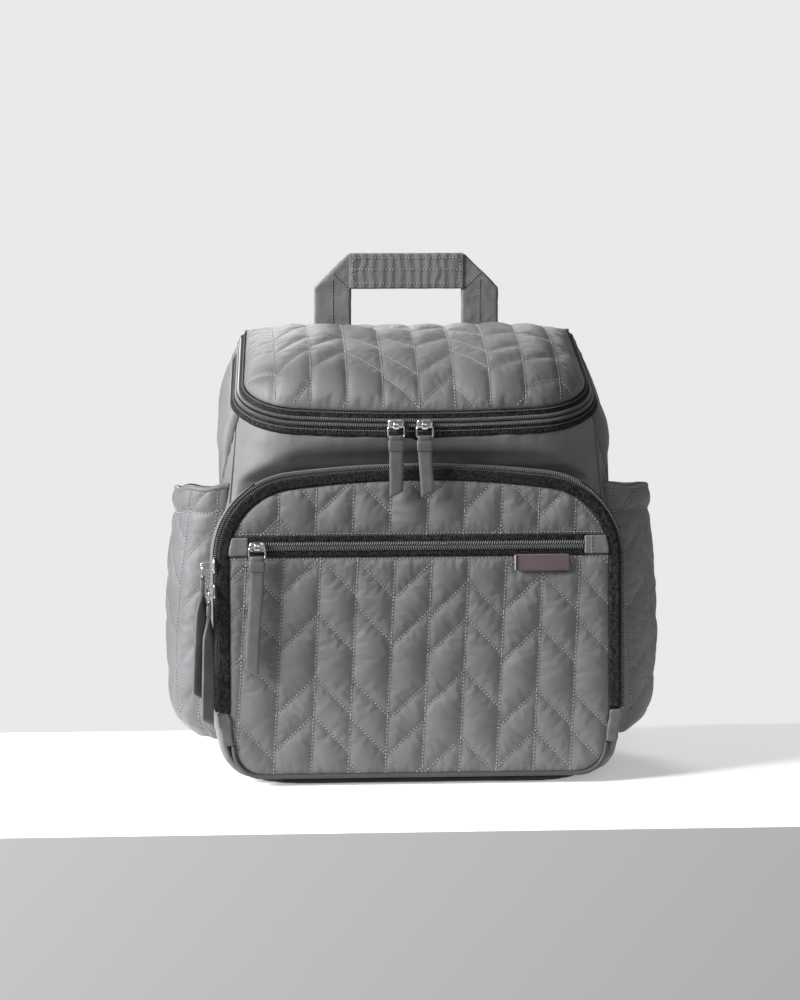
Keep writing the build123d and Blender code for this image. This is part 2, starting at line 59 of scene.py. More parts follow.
FLAP_FOLD = np.array([0.0, -90.0, 60.0])
FLAP_TILT = math.radians(5.1)
RIM_MID = np.array([0.0, 0.0, 319.0])
RIM_TILT = math.radians(20.45)
FLAP_HALF, FLAP_TOP, FLAP_CROWN, FLAP_CORNER = 154.0, 187.0, 16.0, 57.0
RIM_HALF, RIM_FRONT, RIM_CROWN = 148.0, -79.0, 14.5
POCKET_ZIP_Z, POCKET_ZIP_START, POCKET_ZIP_END = 133.5, -138.0, 133.5
SIDES = (("left", -1), ("right", 1))
UP, FRONT, BACK, RIGHT = (np.array(v, float) for v in ((0, 0, 1), (0, -1, 0), (0, 1, 0), (1, 0, 0)))


# ---------------------------------------------------------------- frames of the part
def xyz(x, y, z):
    """Points from their three coordinates, each one number or one for every point."""
    return np.stack(np.broadcast_arrays(*(np.asarray(v, float) for v in (x, y, z))), -1)


def tilted(points, tilt, origin):
    x, y, z = np.moveaxis(points, -1, 0)
    c, s = math.cos(tilt), math.sin(tilt)
    return xyz(x, y * c - z * s, y * s + z * c) + origin


def flap_point(x, y, z):
    """Points of the flap's leaning frame, in the bag's own."""
    return tilted(xyz(x, y, z), -FLAP_TILT, FLAP_FOLD)


def rim_point(x, y, z):
    """Points of the lid zip's slanted frame, in the bag's own."""
    return tilted(xyz(x, y, z), RIM_TILT, RIM_MID)


FLAP_OUT, FLAP_UP = flap_point(0, -1, 0) - FLAP_FOLD, flap_point(0, 0, 1) - FLAP_FOLD
RIM_OUT, RIM_UP = rim_point(0, -1, 0) - RIM_MID, rim_point(0, 0, 1) - RIM_MID


def below_rim(points):
    """How far points are under the plane of the lid's zip."""
    p = points - RIM_MID
    return p[:, 1] * math.sin(RIM_TILT) - p[:, 2] * math.cos(RIM_TILT)


# ---------------------------------------------------------------- number helpers
LATTICE = np.random.default_rng(11).uniform(-1, 1, (32, 32, 32))


def noise(points, size):
    """Smooth noise from -1 to 1, with bumps about size millimetres across."""
    q = np.asarray(points, float) / size
    base = np.floor(q).astype(int)
    f = q - base
    f = f * f * (3 - 2 * f)
    total = np.zeros(len(q))
    for corner in range(8):
        d = np.array([(corner >> k) & 1 for k in range(3)])
        index = (base + d) % 32
        total += np.prod(np.where(d, f, 1 - f), axis=1) * LATTICE[index[:, 0], index[:, 1], index[:, 2]]
    return total


def unit(v):
    return v / np.maximum(np.linalg.norm(v, axis=-1, keepdims=True), 1e-9)


def smoothstep(low, high, value):
    t = np.clip((value - low) / (high - low), 0, 1)
    return t * t * (3 - 2 * t)


def run_along(path):
    """How far along the path each of its points is."""
    return np.concatenate([[0], np.cumsum(np.linalg.norm(np.diff(path, axis=0), axis=1))])


def spread(values, run, count):
    """Values known at each run along a path, at that many even steps instead."""
    at = np.linspace(0, run[-1], count)
    return np.stack([np.interp(at, run, column) for column in values.T], -1)


def resample(path, step):
    """The path again with points at an even step along it."""
    path = np.asarray(path, float)
    run = run_along(path)
    return spread(path, run, max(2, int(round(run[-1] / step)) + 1))


def arc(centre, radius, start, end, count=40):
    turn = np.radians(np.linspace(start, end, count))
    return np.stack([centre[0] + radius * np.cos(turn), centre[1] + radius * np.sin(turn)], -1)


def crowned(end, corner, middle, radius, step=1.5):
    """An outline that is even about X 0: from one end up its side, round a corner and over a crown, and back."""
    end, corner = np.array(end, float), np.array(corner, float)
    sag = abs(middle - corner[1])
    big = (corner[0] ** 2 + sag ** 2) / (2 * sag)
    centre = np.array([0.0, middle - math.copysign(big, middle - corner[1])])
    along = unit(corner - end)
    inward = np.array([-abs(along[1]), along[0] * np.sign(along[1])])
    start = end + inward * radius
    b = np.dot(along, start - centre)
    reach = -b + math.sqrt(b * b - np.dot(start - centre, start - centre) + (big - radius) ** 2)
    pivot = start + along * reach
    side, top = unit(-inward), unit(pivot - centre)
    a0, a1 = math.atan2(side[1], side[0]), math.atan2(top[1], top[0])
    fillet = arc(pivot, radius, math.degrees(a0), math.degrees(a1))
    crown = arc(centre, big, math.degrees(a1), math.copysign(90.0, middle - corner[1]), 60)
    half = np.concatenate([[end], fillet, crown[1:]])
    return resample(np.concatenate([half, (half * [-1, 1])[::-1][1:]]), step)


def rounded(points, radius, closed=False, step=1.5):
    """A path through straight runs with its corners rounded."""
    points = [np.array(p, float) for p in points]
    out, n = [], len(points)
    for k, p in enumerate(points):
        if not closed and k in (0, n - 1):
            out.append(p[None])
            continue
        a, b = unit(points[k - 1] - p), unit(points[(k + 1) % n] - p)
        half = math.acos(np.clip(a @ b, -1, 1)) / 2
        centre = p + unit(a + b) * radius / math.sin(half)
        u, v = p + a * radius / math.tan(half) - centre, p + b * radius / math.tan(half) - centre
        angle = math.pi - 2 * half
        t = np.linspace(0, 1, 10)[:, None]
        out.append(centre + (np.sin((1 - t) * angle) * u + np.sin(t * angle) * v) / math.sin(angle))
    path = np.concatenate(out + [out[0][:1]] if closed else out)
    return resample(path, step)


def arch(grow, bottom=0.5, step=1.5):
    """The flap's outline without its fold, grown all round."""
    half, top = FLAP_HALF + grow, FLAP_TOP + grow
    return crowned((half, bottom), (half, top - FLAP_CROWN), top, FLAP_CORNER + grow, step)


def rim_path(inset, back=95.0, step=1.5):
    """The lid zip's outline, in its own plane: it narrows a little towards the back."""
    half, back_half = RIM_HALF - inset, 141.5 - inset
    side = back_half + (half - back_half) * (130.0 - back) / 194.5
    return crowned((side, back), (half, inset + RIM_FRONT + RIM_CROWN), inset + RIM_FRONT, 56.0 - inset, step)


def outward(path):
    """Normals of a flat path that point away from its middle."""
    t = unit(np.gradient(path, axis=0))
    n = np.stack([t[:, 1], -t[:, 0]], -1)
    return n * np.sign(np.sum(n * (path - path.mean(0)), axis=1).mean())


def inside(points, polygon):
    x, y = points[:, 0], points[:, 1]
    hit = np.zeros(len(points), bool)
    for (ax, ay), (bx, by) in zip(polygon, np.roll(polygon, -1, 0)):
        if ay != by:
            hit ^= ((ay > y) != (by > y)) & (x < (bx - ax) * (y - ay) / (by - ay) + ax)
    return hit


def nearest(points, segments):
    """Distance from each point to the nearest of some straight segments, and how far along them that is."""
    best, where, run = np.full(len(points), 1e9), np.zeros(len(points)), 0.0
    for a, b in segments:
        a, b = np.asarray(a, float), np.asarray(b, float)
        d = b - a
        length = max(np.linalg.norm(d), 1e-6)
        t = np.clip((points - a) @ d / length ** 2, 0, 1)
        gap = np.linalg.norm(points - a - t[:, None] * d, axis=1)
        where = np.where(gap < best, run + t * length, where)
        best = np.minimum(best, gap)
        run += length
    return best, where


def distance(points, segments):
    return nearest(points, segments)[0]


# ---------------------------------------------------------------- materials
class Graph:
    """A material, with short ways to add nodes. What a socket gets is a value or another node's output."""
    def __init__(self, name):
        self.material = bpy.data.materials.new(name)
        self.material.use_nodes = True
        self.tree = self.material.node_tree
        self.shader = self.tree.nodes["Principled BSDF"]
        self.coords = self.node("TexCoord").outputs

    def feed(self, node, values):
        for key, value in values.items() if isinstance(values, dict) else enumerate(values):
            if isinstance(value, bpy.types.NodeSocket):
                self.tree.links.new(value, node.inputs[key])
            else:
                node.inputs[key].default_value = value

    def node(self, kind, values=(), operation=None):
        node = self.tree.nodes.new("ShaderNode" + kind)
        if operation:
            node.operation = operation
        self.feed(node, values)
        return node

    def math(self, operation, *values):
        return self.node("Math", values, operation).outputs[0]

    def noise(self, scale, detail):
        values = {"Scale": scale, "Detail": detail, "Vector": self.coords["Object"]}
        return self.node("TexNoise", values).outputs["Fac"]

    def tint(self, factor, dark, light, between=(0.3, 0.7)):
        ramp = self.node("ValToRGB", {"Fac": factor})
        for element, place, colour in zip(ramp.color_ramp.elements, between, (dark, light)):
            element.position, element.color = place, (*colour, 1)
        return ramp.outputs["Color"]

    def bump(self, *heights):
        """Bumps in turn, each a height and its depth in millimetres."""
        last = {}
        for height, depth in heights:
            bump = self.node("Bump", {"Strength": 1.0, "Distance": depth * MM, "Height": height, **last})
            last = {"Normal": bump.outputs["Normal"]}
        self.feed(self.shader, last)

    def worn(self, patches, colour, darker, lighter, roughness):
        """A finish whose colour and gloss change from patch to patch."""
        dark, light = [c * darker for c in colour], [min(1, c * lighter) for c in colour]
        gloss = self.node("MapRange", {"Value": patches, "To Min": roughness[0], "To Max": roughness[1]})
        self.feed(self.shader, {"Base Color": self.tint(patches, dark, light),
                                "Roughness": gloss.outputs["Result"]})


WEAVE_SHARE = 0.16            # how much of a cloth's colour changes with its weave


def fabric(name, colour, pitch=(0.5, 0.5), depth=0.1, roughness=0.6, sheen=0.0, specular=0.4, mottle=0.10,
           crease=0.25, speckle=0.22, grain=900.0, contrast=(0.3, 0.7)):
    """Woven cloth: threads that pass over and under, faint streaks in the yarn, and fine creasing."""
    g = Graph(name)
    g.feed(g.shader, {"Roughness": roughness, "Specular IOR Level": specular, "Sheen Weight": sheen,
                      "Sheen Roughness": 0.4})
    per_metre = (1000.0 / pitch[0], 1000.0 / pitch[1], 0)
    thread = g.node("VectorMath", (g.coords["UV"], per_metre), "MULTIPLY").outputs[0]
    split = g.node("SeparateXYZ", (thread,)).outputs
    waves = [g.math("ABSOLUTE", g.math("SINE", g.math("MULTIPLY", split[k], math.pi))) for k in (0, 1)]
    checker = g.node("TexChecker", {"Scale": 1.0, "Vector": thread}).outputs["Fac"]
    weave = g.node("Mix", {"Factor": checker, "A": waves[0], "B": waves[1]}).outputs["Result"]
    cloudy = g.math("MULTIPLY", g.noise(22.0, 5.0), 1 - WEAVE_SHARE - speckle)
    fine = g.math("MULTIPLY", g.noise(grain, 2.0), speckle)
    mixed = g.math("ADD", cloudy, g.math("ADD", fine, g.math("MULTIPLY", weave, WEAVE_SHARE)))
    dark = [c * max(0.1, 1 - 2.2 * mottle) for c in colour]
    light = [min(1, c * (1 + 1.8 * mottle)) for c in colour]
    g.feed(g.shader, {"Base Color": g.tint(mixed, dark, light, contrast)})
    g.bump((g.noise(210.0, 3.0), crease), (weave, depth))
    return g.material


def hard(name, colour, metallic, roughness, grain, depth):
    """Metal or plastic: a fine grain, and a finish that is worn here and there."""
    g = Graph(name)
    g.feed(g.shader, {"Metallic": metallic})
    g.worn(g.noise(60.0, 5.0), colour, 0.88, 1.12, roughness)
    g.bump((g.noise(grain, 3.0), depth))
    return g.material


def leather(name, colour):
    g = Graph(name)
    g.feed(g.shader, {"Specular IOR Level": 0.45})
    cells = g.node("TexVoronoi", {"Scale": 900.0, "Vector": g.coords["Object"]}).outputs["Distance"]
    patches = g.noise(90.0, 4.0)
    g.worn(patches, colour, 0.85, 1.18, (0.38, 0.62))
    g.bump((cells, 0.08), (patches, 0.2))
    return g.material


FINISHES = {
    "quilted_fabric": (fabric, (0.102, 0.102, 0.107), (0.42, 0.42), 0.06, 0.46, 0.15, 0.5),
    "plain_fabric": (fabric, (0.118, 0.118, 0.123), (0.42, 0.42), 0.06, 0.45, 0.15, 0.5),
    "lining": (fabric, (0.24, 0.232, 0.22), (0.35, 0.35), 0.05, 0.62, 0.1, 0.3),
    "air_mesh": (fabric, (0.040, 0.040, 0.043), (2.2, 2.6), 0.5, 0.85, 0.2, 0.2),
    "base_cloth": (fabric, (0.045, 0.045, 0.048), (0.9, 0.9), 0.16, 0.62, 0.0, 0.4),
    "webbing": (fabric, (0.092, 0.092, 0.097), (1.5, 0.75), 0.22, 0.6, 0.2, 0.35, 0.08, 0.1),
    "zip_tape": (fabric, (0.010, 0.010, 0.0105), (0.9, 0.65), 0.16, 0.75, 0.0, 0.14, 1.5, 0.1, 0.7, 520.0,
                 (0.46, 0.66)),
    "zip_coil": (hard, (0.165, 0.165, 0.17), 0.0, (0.24, 0.38), 700.0, 0.02),
    "buckle_plastic": (hard, (0.02, 0.02, 0.021), 0.0, (0.38, 0.55), 1500.0, 0.04),
    "nickel": (hard, (0.62, 0.61, 0.60), 1.0, (0.18, 0.36), 300.0, 0.02),
    "pull_leather": (leather, (0.080, 0.080, 0.083)),
    "label_cloth": (fabric, (0.105, 0.075, 0.082), (0.5, 0.3), 0.12, 0.7, 0.2, 0.3),
}
MATERIALS = {name: make(name, *values) for name, (make, *values) in FINISHES.items()}
THREAD_LIGHT = fabric("thread_light", (0.33, 0.33, 0.34), (0.4, 0.25), 0.1, 0.55, 0.2, 0.4, 0.1, 0.05)
# Near-black cloth put in each pricked hole between stitches: painted shade for the dark inside a hole.
HOLE_SHADE = fabric("stitch_hole_shade", (0.012, 0.012, 0.013), (0.4, 0.25), 0.05, 0.9, 0.0, 0.1, 0.1, 0.05)
THREAD_DARK = fabric("thread_dark", (0.16, 0.16, 0.165), (0.4, 0.25), 0.1, 0.6, 0.2, 0.4, 0.1, 0.05)


# ---------------------------------------------------------------- mesh helpers
def read(items, name, width=1, kind=float):
    """One attribute of all of a mesh's vertices, faces or loops."""
    out = np.empty(len(items) * width, kind)
    items.foreach_get(name, out)
    return out.reshape(-1, width) if width > 1 else out


def box_uv(mesh):
    """Maps cloth by the way each face looks, in metres, so that a weave keeps its real size."""
    major = np.abs(read(mesh.polygons, "normal", 3)).argmax(1)
    major = np.repeat(major, read(mesh.polygons, "loop_total", kind=int))
    points = read(mesh.vertices, "co", 3)[read(mesh.loops, "vertex_index", kind=int)]
    across = np.array([(1, 2), (0, 2), (0, 1)])[major]
    mesh.uv_layers.new(name="UVMap").data.foreach_set("uv", np.take_along_axis(points, across, 1).ravel())


def dress(obj, body, slot, material=None, nodes=()):
    """The last step for a piece: its finish, the body it moves with and what it stands for. A piece given a tuple
    of bodies only has its place baked into its mesh.
    """
    mesh = obj.data
    mesh.materials.clear()
    mesh.materials.append(material or MATERIALS[slot])
    mesh.polygons.foreach_set("use_smooth", [True] * len(mesh.polygons))
    if not mesh.uv_layers:
        box_uv(mesh)
    if isinstance(body, tuple):
        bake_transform(obj)
    else:
        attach(obj, body)
    if nodes:
        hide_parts(*nodes)
    return obj


def placed(name, mesh):
    obj = bpy.data.objects.new(name, mesh)
    bpy.context.scene.collection.objects.link(obj)
    return obj


def made(name, points, faces):
    """An object from points in millimetres, with all its faces looking outwards."""
    mesh = bpy.data.meshes.new(name)
    mesh.from_pydata((np.asarray(points, float) * MM).tolist(), [], [tuple(int(i) for i in f) for f in faces])
    mesh.validate()
    whole = bmesh.new()
    whole.from_mesh(mesh)
    bmesh.ops.recalc_face_normals(whole, faces=whole.faces)
    whole.to_mesh(mesh)
    whole.free()
    return placed(name, mesh)


def piece(name, shape, body, slot, material=None, nodes=()):
    """A finished piece from a shape, which is (points, faces)."""
    return dress(made(name, *shape), body, slot, material, nodes)


def baked(obj):
    """Makes an object's mesh what its modifiers make of it."""
    mesh = bpy.data.meshes.new_from_object(obj.evaluated_get(bpy.context.evaluated_depsgraph_get()))
    obj.modifiers.clear()
    obj.data = mesh
    return mesh


def joined(parts):
    """Several (points, faces) as one."""
    points, faces, offset = [], [], 0
    for p, f in parts:
        points.append(p)
        faces += [tuple(i + offset for i in face) for face in f]
        offset += len(p)
    return np.concatenate(points), faces


def grid_faces(rows, columns, wrap_rows=False, wrap_columns=False):
    r, c = rows if wrap_rows else rows - 1, columns if wrap_columns else columns - 1
    i, j = np.meshgrid(np.arange(r), np.arange(c), indexing="ij")
    i2, j2 = (i + 1) % rows, (j + 1) % columns
    corners = [i * columns + j, i * columns + j2, i2 * columns + j2, i2 * columns + j]
    return np.stack(corners, -1).reshape(-1, 4).tolist()


def loft(rings, closed=False):
    """A shape through a row of rings. It runs round to its start, or its two ends are closed."""
    rings = np.array(rings)
    n, k = rings.shape[:2]
    faces = grid_faces(n, k, wrap_rows=closed, wrap_columns=True)
    if not closed:
        faces += [list(range(k))[::-1], list(range((n - 1) * k, n * k))]
    return rings.reshape(-1, 3), faces


def sweep(path, section, normals, closed=False):
    """A section of (side, up) offsets carried along a path whose up direction is given."""
    path, section = np.asarray(path, float), np.asarray(section, float)
    tangent = np.roll(path, -1, 0) - np.roll(path, 1, 0) if closed else np.gradient(path, axis=0)
    tangent = unit(tangent)
    side = unit(np.cross(tangent, np.broadcast_to(normals, path.shape)))
    up = np.cross(side, tangent)
    return loft(path[:, None] + side[:, None] * section[None, :, :1] + up[:, None] * section[None, :, 1:], closed)


def oval(half_side, half_up, count=10, square=1.0):
    """An ellipse, or with square below 1 a rounded rectangle."""
    t = np.linspace(0, 2 * math.pi, count, endpoint=False)
    c, s = np.cos(t), np.sin(t)
    return np.stack([np.sign(c) * np.abs(c) ** square * half_side, np.sign(s) * np.abs(s) ** square * half_up], -1)


def capsule():
    """A bead one unit long along X and one across, as a base for stitches and teeth."""
    rings = [(-0.5, 0.5), (-0.36, 0.92), (0.0, 1.0), (0.36, 0.92), (0.5, 0.5)]
    t = np.linspace(0, 2 * math.pi, 6, endpoint=False)
    points = [[x, 0.5 * r * math.cos(a), 0.5 * r * math.sin(a)] for x, r in rings for a in t]
    faces = grid_faces(len(rings), 6, wrap_columns=True) + [list(range(6)), list(range(24, 30))[::-1]]
    return np.array(points), faces


def scattered(centres, along, across, up, size):
    """Copies of the bead at each centre, turned to the three directions given."""
    base, faces = capsule()
    base = base * size
    points = (centres[:, None] + base[None, :, :1] * along[:, None] + base[None, :, 1:2] * across[:, None]
              + base[None, :, 2:] * up[:, None]).reshape(-1, 3)
    first = np.arange(len(centres))[:, None] * len(base)
    return points, [copy for face in faces for copy in (first + np.array(face)).tolist()]


def ribbon(a, b, thickness):
    """A strip of cloth between two edges, with both of its sides and its turned edges."""
    t = np.linspace(0, 1, 5)[:, None, None]
    mid = a[None] * (1 - t) + b[None] * t
    normal = unit(np.cross(np.gradient(mid, axis=1), np.broadcast_to(b - a, mid.shape)))
    bow = 4 * t * (1 - t) * 0.15
    top, low = mid + normal * (thickness / 2 + bow), mid - normal * (thickness / 2 - bow)
    loop = np.concatenate([top, low[::-1]])
    rows, columns = loop.shape[:2]
    ends = [[r * columns for r in range(rows)], [r * columns + columns - 1 for r in range(rows)][::-1]]
    return loop.reshape(-1, 3), grid_faces(rows, columns, wrap_rows=True) + ends


def surface(obj):
    """A tree of the object's faces in millimetres, for putting things on it."""
    bpy.context.view_layer.update()
    points = read(obj.data.vertices, "co", 3) / MM
    return BVHTree.FromPolygons(points.tolist(), [tuple(p.vertices) for p in obj.data.polygons])


def landed(tree, points, inward, reach=25.0):
    """Where rays that start reach outside the points and run inward meet a surface, and its normals there."""
    found, normals = [], []
    for p, d in zip(points, np.broadcast_to(inward, points.shape)):
        hit, normal, _, _ = tree.ray_cast(Vector(p - d * reach), Vector(d), reach * 2)
        found.append(hit if hit is not None else (math.nan,) * 3)
        normals.append(normal if hit is not None else -d)
    return np.array(found, float), np.array(normals, float)


def stitched(tree, path, inward, pitch=STITCH_PITCH, length=STITCH_LENGTH, reach=25.0):
    """Stitches along a path, lying on a surface. inward is one direction or one for each point."""
    both = np.concatenate([path, np.broadcast_to(inward, np.shape(path))], axis=1)
    run = run_along(path)
    both = spread(both, run, max(4, int(run[-1] / 0.9)))
    inward = unit(both[:, 3:])
    hits, normals = landed(tree, both[:, :3], inward, reach)
    keep = ~np.isnan(hits[:, 0])
    hits, normals, inward = hits[keep], normals[keep], inward[keep]
    if len(hits) < 4:
        return None
    line = resample(hits, pitch)
    tangent = unit(np.gradient(line, axis=0))
    close = np.array([np.argmin(np.sum((hits - p) ** 2, axis=1)) for p in line])
    up = unit(normals[close] - tangent * np.sum(normals[close] * tangent, axis=1, keepdims=True))
    up *= np.sign(-np.sum(up * inward[close], axis=1, keepdims=True))
    side = np.cross(up, tangent)
    beads = scattered(line + up * 0.15, tangent, side, up, (length, 2.3 * THREAD, 2 * THREAD))
    gaps = (line[:-1] + line[1:]) / 2
    # Flat near-black beads in the gaps between stitches: painted shade for the pricked needle hole at each gap.
    hole_shades = scattered(gaps + up[:-1] * 0.05, tangent[:-1], side[:-1], up[:-1], (pitch - length + 0.3, 0.75, 0.3))
    return beads, hole_shades


def sewn(name, parts, body, slot, material=THREAD_LIGHT):
    """The thread of several runs as one piece, and as another the near-black beads of painted shade that fill each
    pricked hole between its stitches.
    """
    beads, hole_shades = zip(*(part for part in parts if part))
    piece(name + "_holes", joined(hole_shades), body, slot, HOLE_SHADE)
    piece(name, joined(beads), body, slot, material)


def sew(name, body, target, lines, inward, slot, material=THREAD_DARK, reach=60.0):
    """One piece that holds every stitch of the lines given, laid on the target."""
    tree = surface(target)
    sewn(name, [stitched(tree, line, inward, reach=reach) for line in lines], body, slot, material)


def box_lines(corners, y):
    """The sides of a sewn box, at a depth."""
    return [xyz([a[0], b[0]], y, [a[1], b[1]]) for a, b in zip(corners, corners[1:] + corners[:1])]

# ---------------------------------------------------------------- quilted and plain panels of cloth
def relaxed(count, edges, free, steps=260):
    """The shape of a thin skin blown up between its pins, with a peak of 1."""
    height = np.zeros(count)
    degree = np.maximum(np.bincount(edges.ravel(), minlength=count), 1)
    for _ in range(steps):
        total = (np.bincount(edges[:, 0], height[edges[:, 1]], count)
                 + np.bincount(edges[:, 1], height[edges[:, 0]], count))
        height = np.where(free, total / degree + 0.01, 0)
    return height / max(height.max(), 1e-9)


def simulated(name, points, triangles, pins, pressure=3.0, slack=0.02, steps=18):
    """Blows the cloth up from behind with its seams held, and returns where it comes to rest."""
    mesh = bpy.data.meshes.new(name)
    mesh.from_pydata((points * SIM_UNIT).tolist(), [], triangles)
    obj = placed(name, mesh)
    scene = bpy.context.scene
    group = obj.vertex_groups.new(name="held")
    group.add([int(i) for i in np.nonzero(pins)[0]], 1.0, "REPLACE")
    cloth = obj.modifiers.new("cloth", "CLOTH")
    settings = cloth.settings
    settings.quality = 5
    settings.mass = 0.15
    settings.air_damping = 3.0
    settings.tension_stiffness = settings.compression_stiffness = 12.0
    settings.shear_stiffness = 4.0
    settings.bending_stiffness = 0.15
    settings.vertex_group_mass = "held"
    settings.pin_stiffness = 1.0
    settings.use_pressure = True
    settings.uniform_pressure_force = pressure
    settings.shrink_min = settings.shrink_max = -slack
    settings.effector_weights.gravity = 0.0
    cloth.point_cache.frame_start, cloth.point_cache.frame_end = 1, steps
    for step in range(1, steps + 1):
        scene.frame_set(step)
    evaluated = obj.evaluated_get(bpy.context.evaluated_depsgraph_get())
    result = read(evaluated.data.vertices, "co", 3) / SIM_UNIT
    bpy.data.objects.remove(obj)
    bpy.data.meshes.remove(mesh)
    scene.frame_set(1)
    return result


def panel(name, outline, seams, place, body, slot, nodes, spacing=2.8, puff=4.0, edge_drop=0.0, skirt=3.0,
          simulate=True, flats=(), pucker=0.5):
    """A panel of padded cloth inside an outline, sewn down along straight seams.

    place(uv, height) gives points of the bag for points of the outline's plane. The edge is held edge_drop below
    the seams and turned in by skirt. flats are boxes (u0, v0, u1, v1) that stay flat for something sewn on."""
    outline = resample(np.concatenate([outline, outline[:1]]), spacing)[:-1]
    n = len(outline)
    rim = list(zip(outline, np.roll(outline, -1, 0)))
    uv, tri, loop = meshed(outline, rim, seams, spacing)
    base = place(uv, np.zeros(len(uv)))
    outwards = unit(place(uv, np.ones(len(uv))) - base)
    face_normal = np.cross(base[tri[:, 1]] - base[tri[:, 0]], base[tri[:, 2]] - base[tri[:, 0]])
    if np.sum(face_normal * outwards[tri[:, 0]]) < 0:
        tri = tri[:, ::-1]
    gap, along_seam = nearest(uv, seams) if seams else (np.full(len(uv), 1e3), np.zeros(len(uv)))
    near_rim, along_rim = nearest(uv, rim)
    pins = gap < 0.08
    pins[loop] = True
    for u0, v0, u1, v1 in flats:
        pins |= (uv[:, 0] > u0) & (uv[:, 0] < u1) & (uv[:, 1] > v0) & (uv[:, 1] < v1)

    level = -edge_drop * (1 - smoothstep(0, 7.0, near_rim))
    edges = np.unique(np.sort(np.concatenate([tri[:, [0, 1]], tri[:, [1, 2]], tri[:, [2, 0]]]), axis=1), axis=0)
    swell = relaxed(len(uv), edges, ~pins) ** 0.62
    crimp = 0.4 * noise(base, 12.0)
    for near, along in ((gap, along_seam), (near_rim, along_rim)):
        crimp += 1.3 * noise(xyz(along / 3.3, near / 16.0, np.floor(along / 400.0)), 1.0) * np.exp(-near / 7.0)
    gathers = pucker * crimp * smoothstep(0, 1.5, np.minimum(gap, near_rim))
    height = level + np.where(pins, 0.0, puff * swell + gathers)
    points = place(uv, height)
    if simulate:
        start = place(uv, level + np.where(pins, 0.0, 0.25 * (height - level)))
        moved = simulated(name + "_sim", start, tri.tolist(), pins) - start
        rise = np.sum(moved * outwards, axis=1, keepdims=True)
        cap = 1.25 * puff
        blown = start + moved + (cap * np.tanh(rise / cap) - rise) * outwards
        points = np.where(pins[:, None], points, 0.75 * blown + 0.25 * points)

    skirt_points = place(uv[loop], level[loop] - skirt)
    k = np.arange(n)
    k2 = (k + 1) % n
    turned_in = np.stack([loop[k], loop[k2], len(points) + k2, len(points) + k], -1)
    a, b, _, d = turned_in[0]
    every = np.concatenate([points, skirt_points])
    if np.dot(np.cross(every[b] - every[a], every[d] - every[a]), every[a] - points.mean(0)) < 0:
        turned_in = turned_in[:, ::-1]
    obj = made(name, every, tri.tolist() + turned_in.tolist())
    smooth = obj.modifiers.new("smooth", "SUBSURF")
    smooth.levels = smooth.render_levels = 1
    baked(obj)
    dress(obj, body, slot, None, nodes)
    lines = seam_lines_inside(seams, outline)
    if lines:
        tree, parts = surface(obj), []
        for line in lines:
            line = resample(line, 1.0)
            here = place(line, np.zeros(len(line)))
            parts.append(stitched(tree, here, -unit(place(line, np.ones(len(line))) - here)))
        sewn(name + "_stitches", parts, body, slot)
    return obj


def meshed(outline, rim, seams, spacing):
    """Fills an outline with triangles whose edges follow the seams."""
    low, high = outline.min(0), outline.max(0)
    on_seams = np.zeros((0, 2))
    if seams:
        on_seams = np.concatenate([resample(s, spacing) for s in seams])
        on_seams = on_seams[inside(on_seams, outline)]
        on_seams = on_seams[distance(on_seams, rim) > 0.5 * spacing]
    rows = np.arange(low[1], high[1], spacing * 0.87)
    u, v = np.meshgrid(np.arange(low[0], high[0], spacing), rows)
    u = u + (np.arange(len(rows)) % 2)[:, None] * spacing / 2
    field = np.stack([u.ravel(), v.ravel()], -1)
    field = field + np.random.default_rng(5).uniform(-0.12, 0.12, field.shape) * spacing
    field = field[inside(field, outline)]
    for lines in (rim, seams):
        if lines:
            field = field[distance(field, lines) > 0.6 * spacing]
    every = [Vector(p) for p in np.concatenate([outline, on_seams, field])]
    points, _, triangles, sources, _, _ = delaunay_2d_cdt(every, [], [list(range(len(outline)))], 1, 1e-5)
    where = {source: out for out, of_point in enumerate(sources) for source in of_point}
    loop = np.array([where[i] for i in range(len(outline))])
    return np.array([tuple(p) for p in points]), np.array([list(f) for f in triangles]), loop


def seam_lines_inside(seams, outline):
    """The two ends of each run of a seam that lies inside the outline, away from its edge."""
    runs = []
    rim = list(zip(outline, np.roll(outline, -1, 0)))
    for seam in seams:
        line = resample(seam, 1.0)
        inner = inside(line, outline) & (distance(line, rim) > 1.5)
        start = None
        for k, good in enumerate([*inner, False]):
            if good and start is None:
                start = k
            if not good and start is not None:
                if k - start > 4:
                    runs.append((line[start], line[k - 1]))
                start = None
    return runs


def soft_copy(node, body, slot, voxel, smooth, wrinkle, size, bulge=None):
    """A CAD panel as sewn cloth: its edges rounded off, its faces creased and, where asked, stuffed."""
    obj = placed(node + "_cloth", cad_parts[node].data.copy())
    remesh = obj.modifiers.new("remesh", "REMESH")
    remesh.mode, remesh.voxel_size = "VOXEL", voxel * MM
    soften = obj.modifiers.new("soften", "SMOOTH")
    soften.factor, soften.iterations = 0.5, smooth
    mesh = baked(obj)
    p, n = read(mesh.vertices, "co", 3) / MM, read(mesh.vertices, "normal", 3)
    creases = (noise(p, (size, size, size * 0.6)) + 0.45 * noise(p + 40, size * 0.4)
               + 0.2 * noise(p - 70, size * 0.16))
    p = p + n * (creases * wrinkle)[:, None]
    if bulge:
        p = p + bulge(p, n)
    mesh.vertices.foreach_set("co", (p * MM).ravel())
    mesh.update()
    return dress(obj, body, slot, None, (node,))


# ---------------------------------------------------------------- quilting pattern
QUILT_PITCH = 30.0            # between the upright lines of stitching
QUILT_REPEAT = 127.0          # height after which the slanting lines repeat
DIRECTIONS = "/\\/\\\\/"      # how the slanting lines lean, column by column, over and over


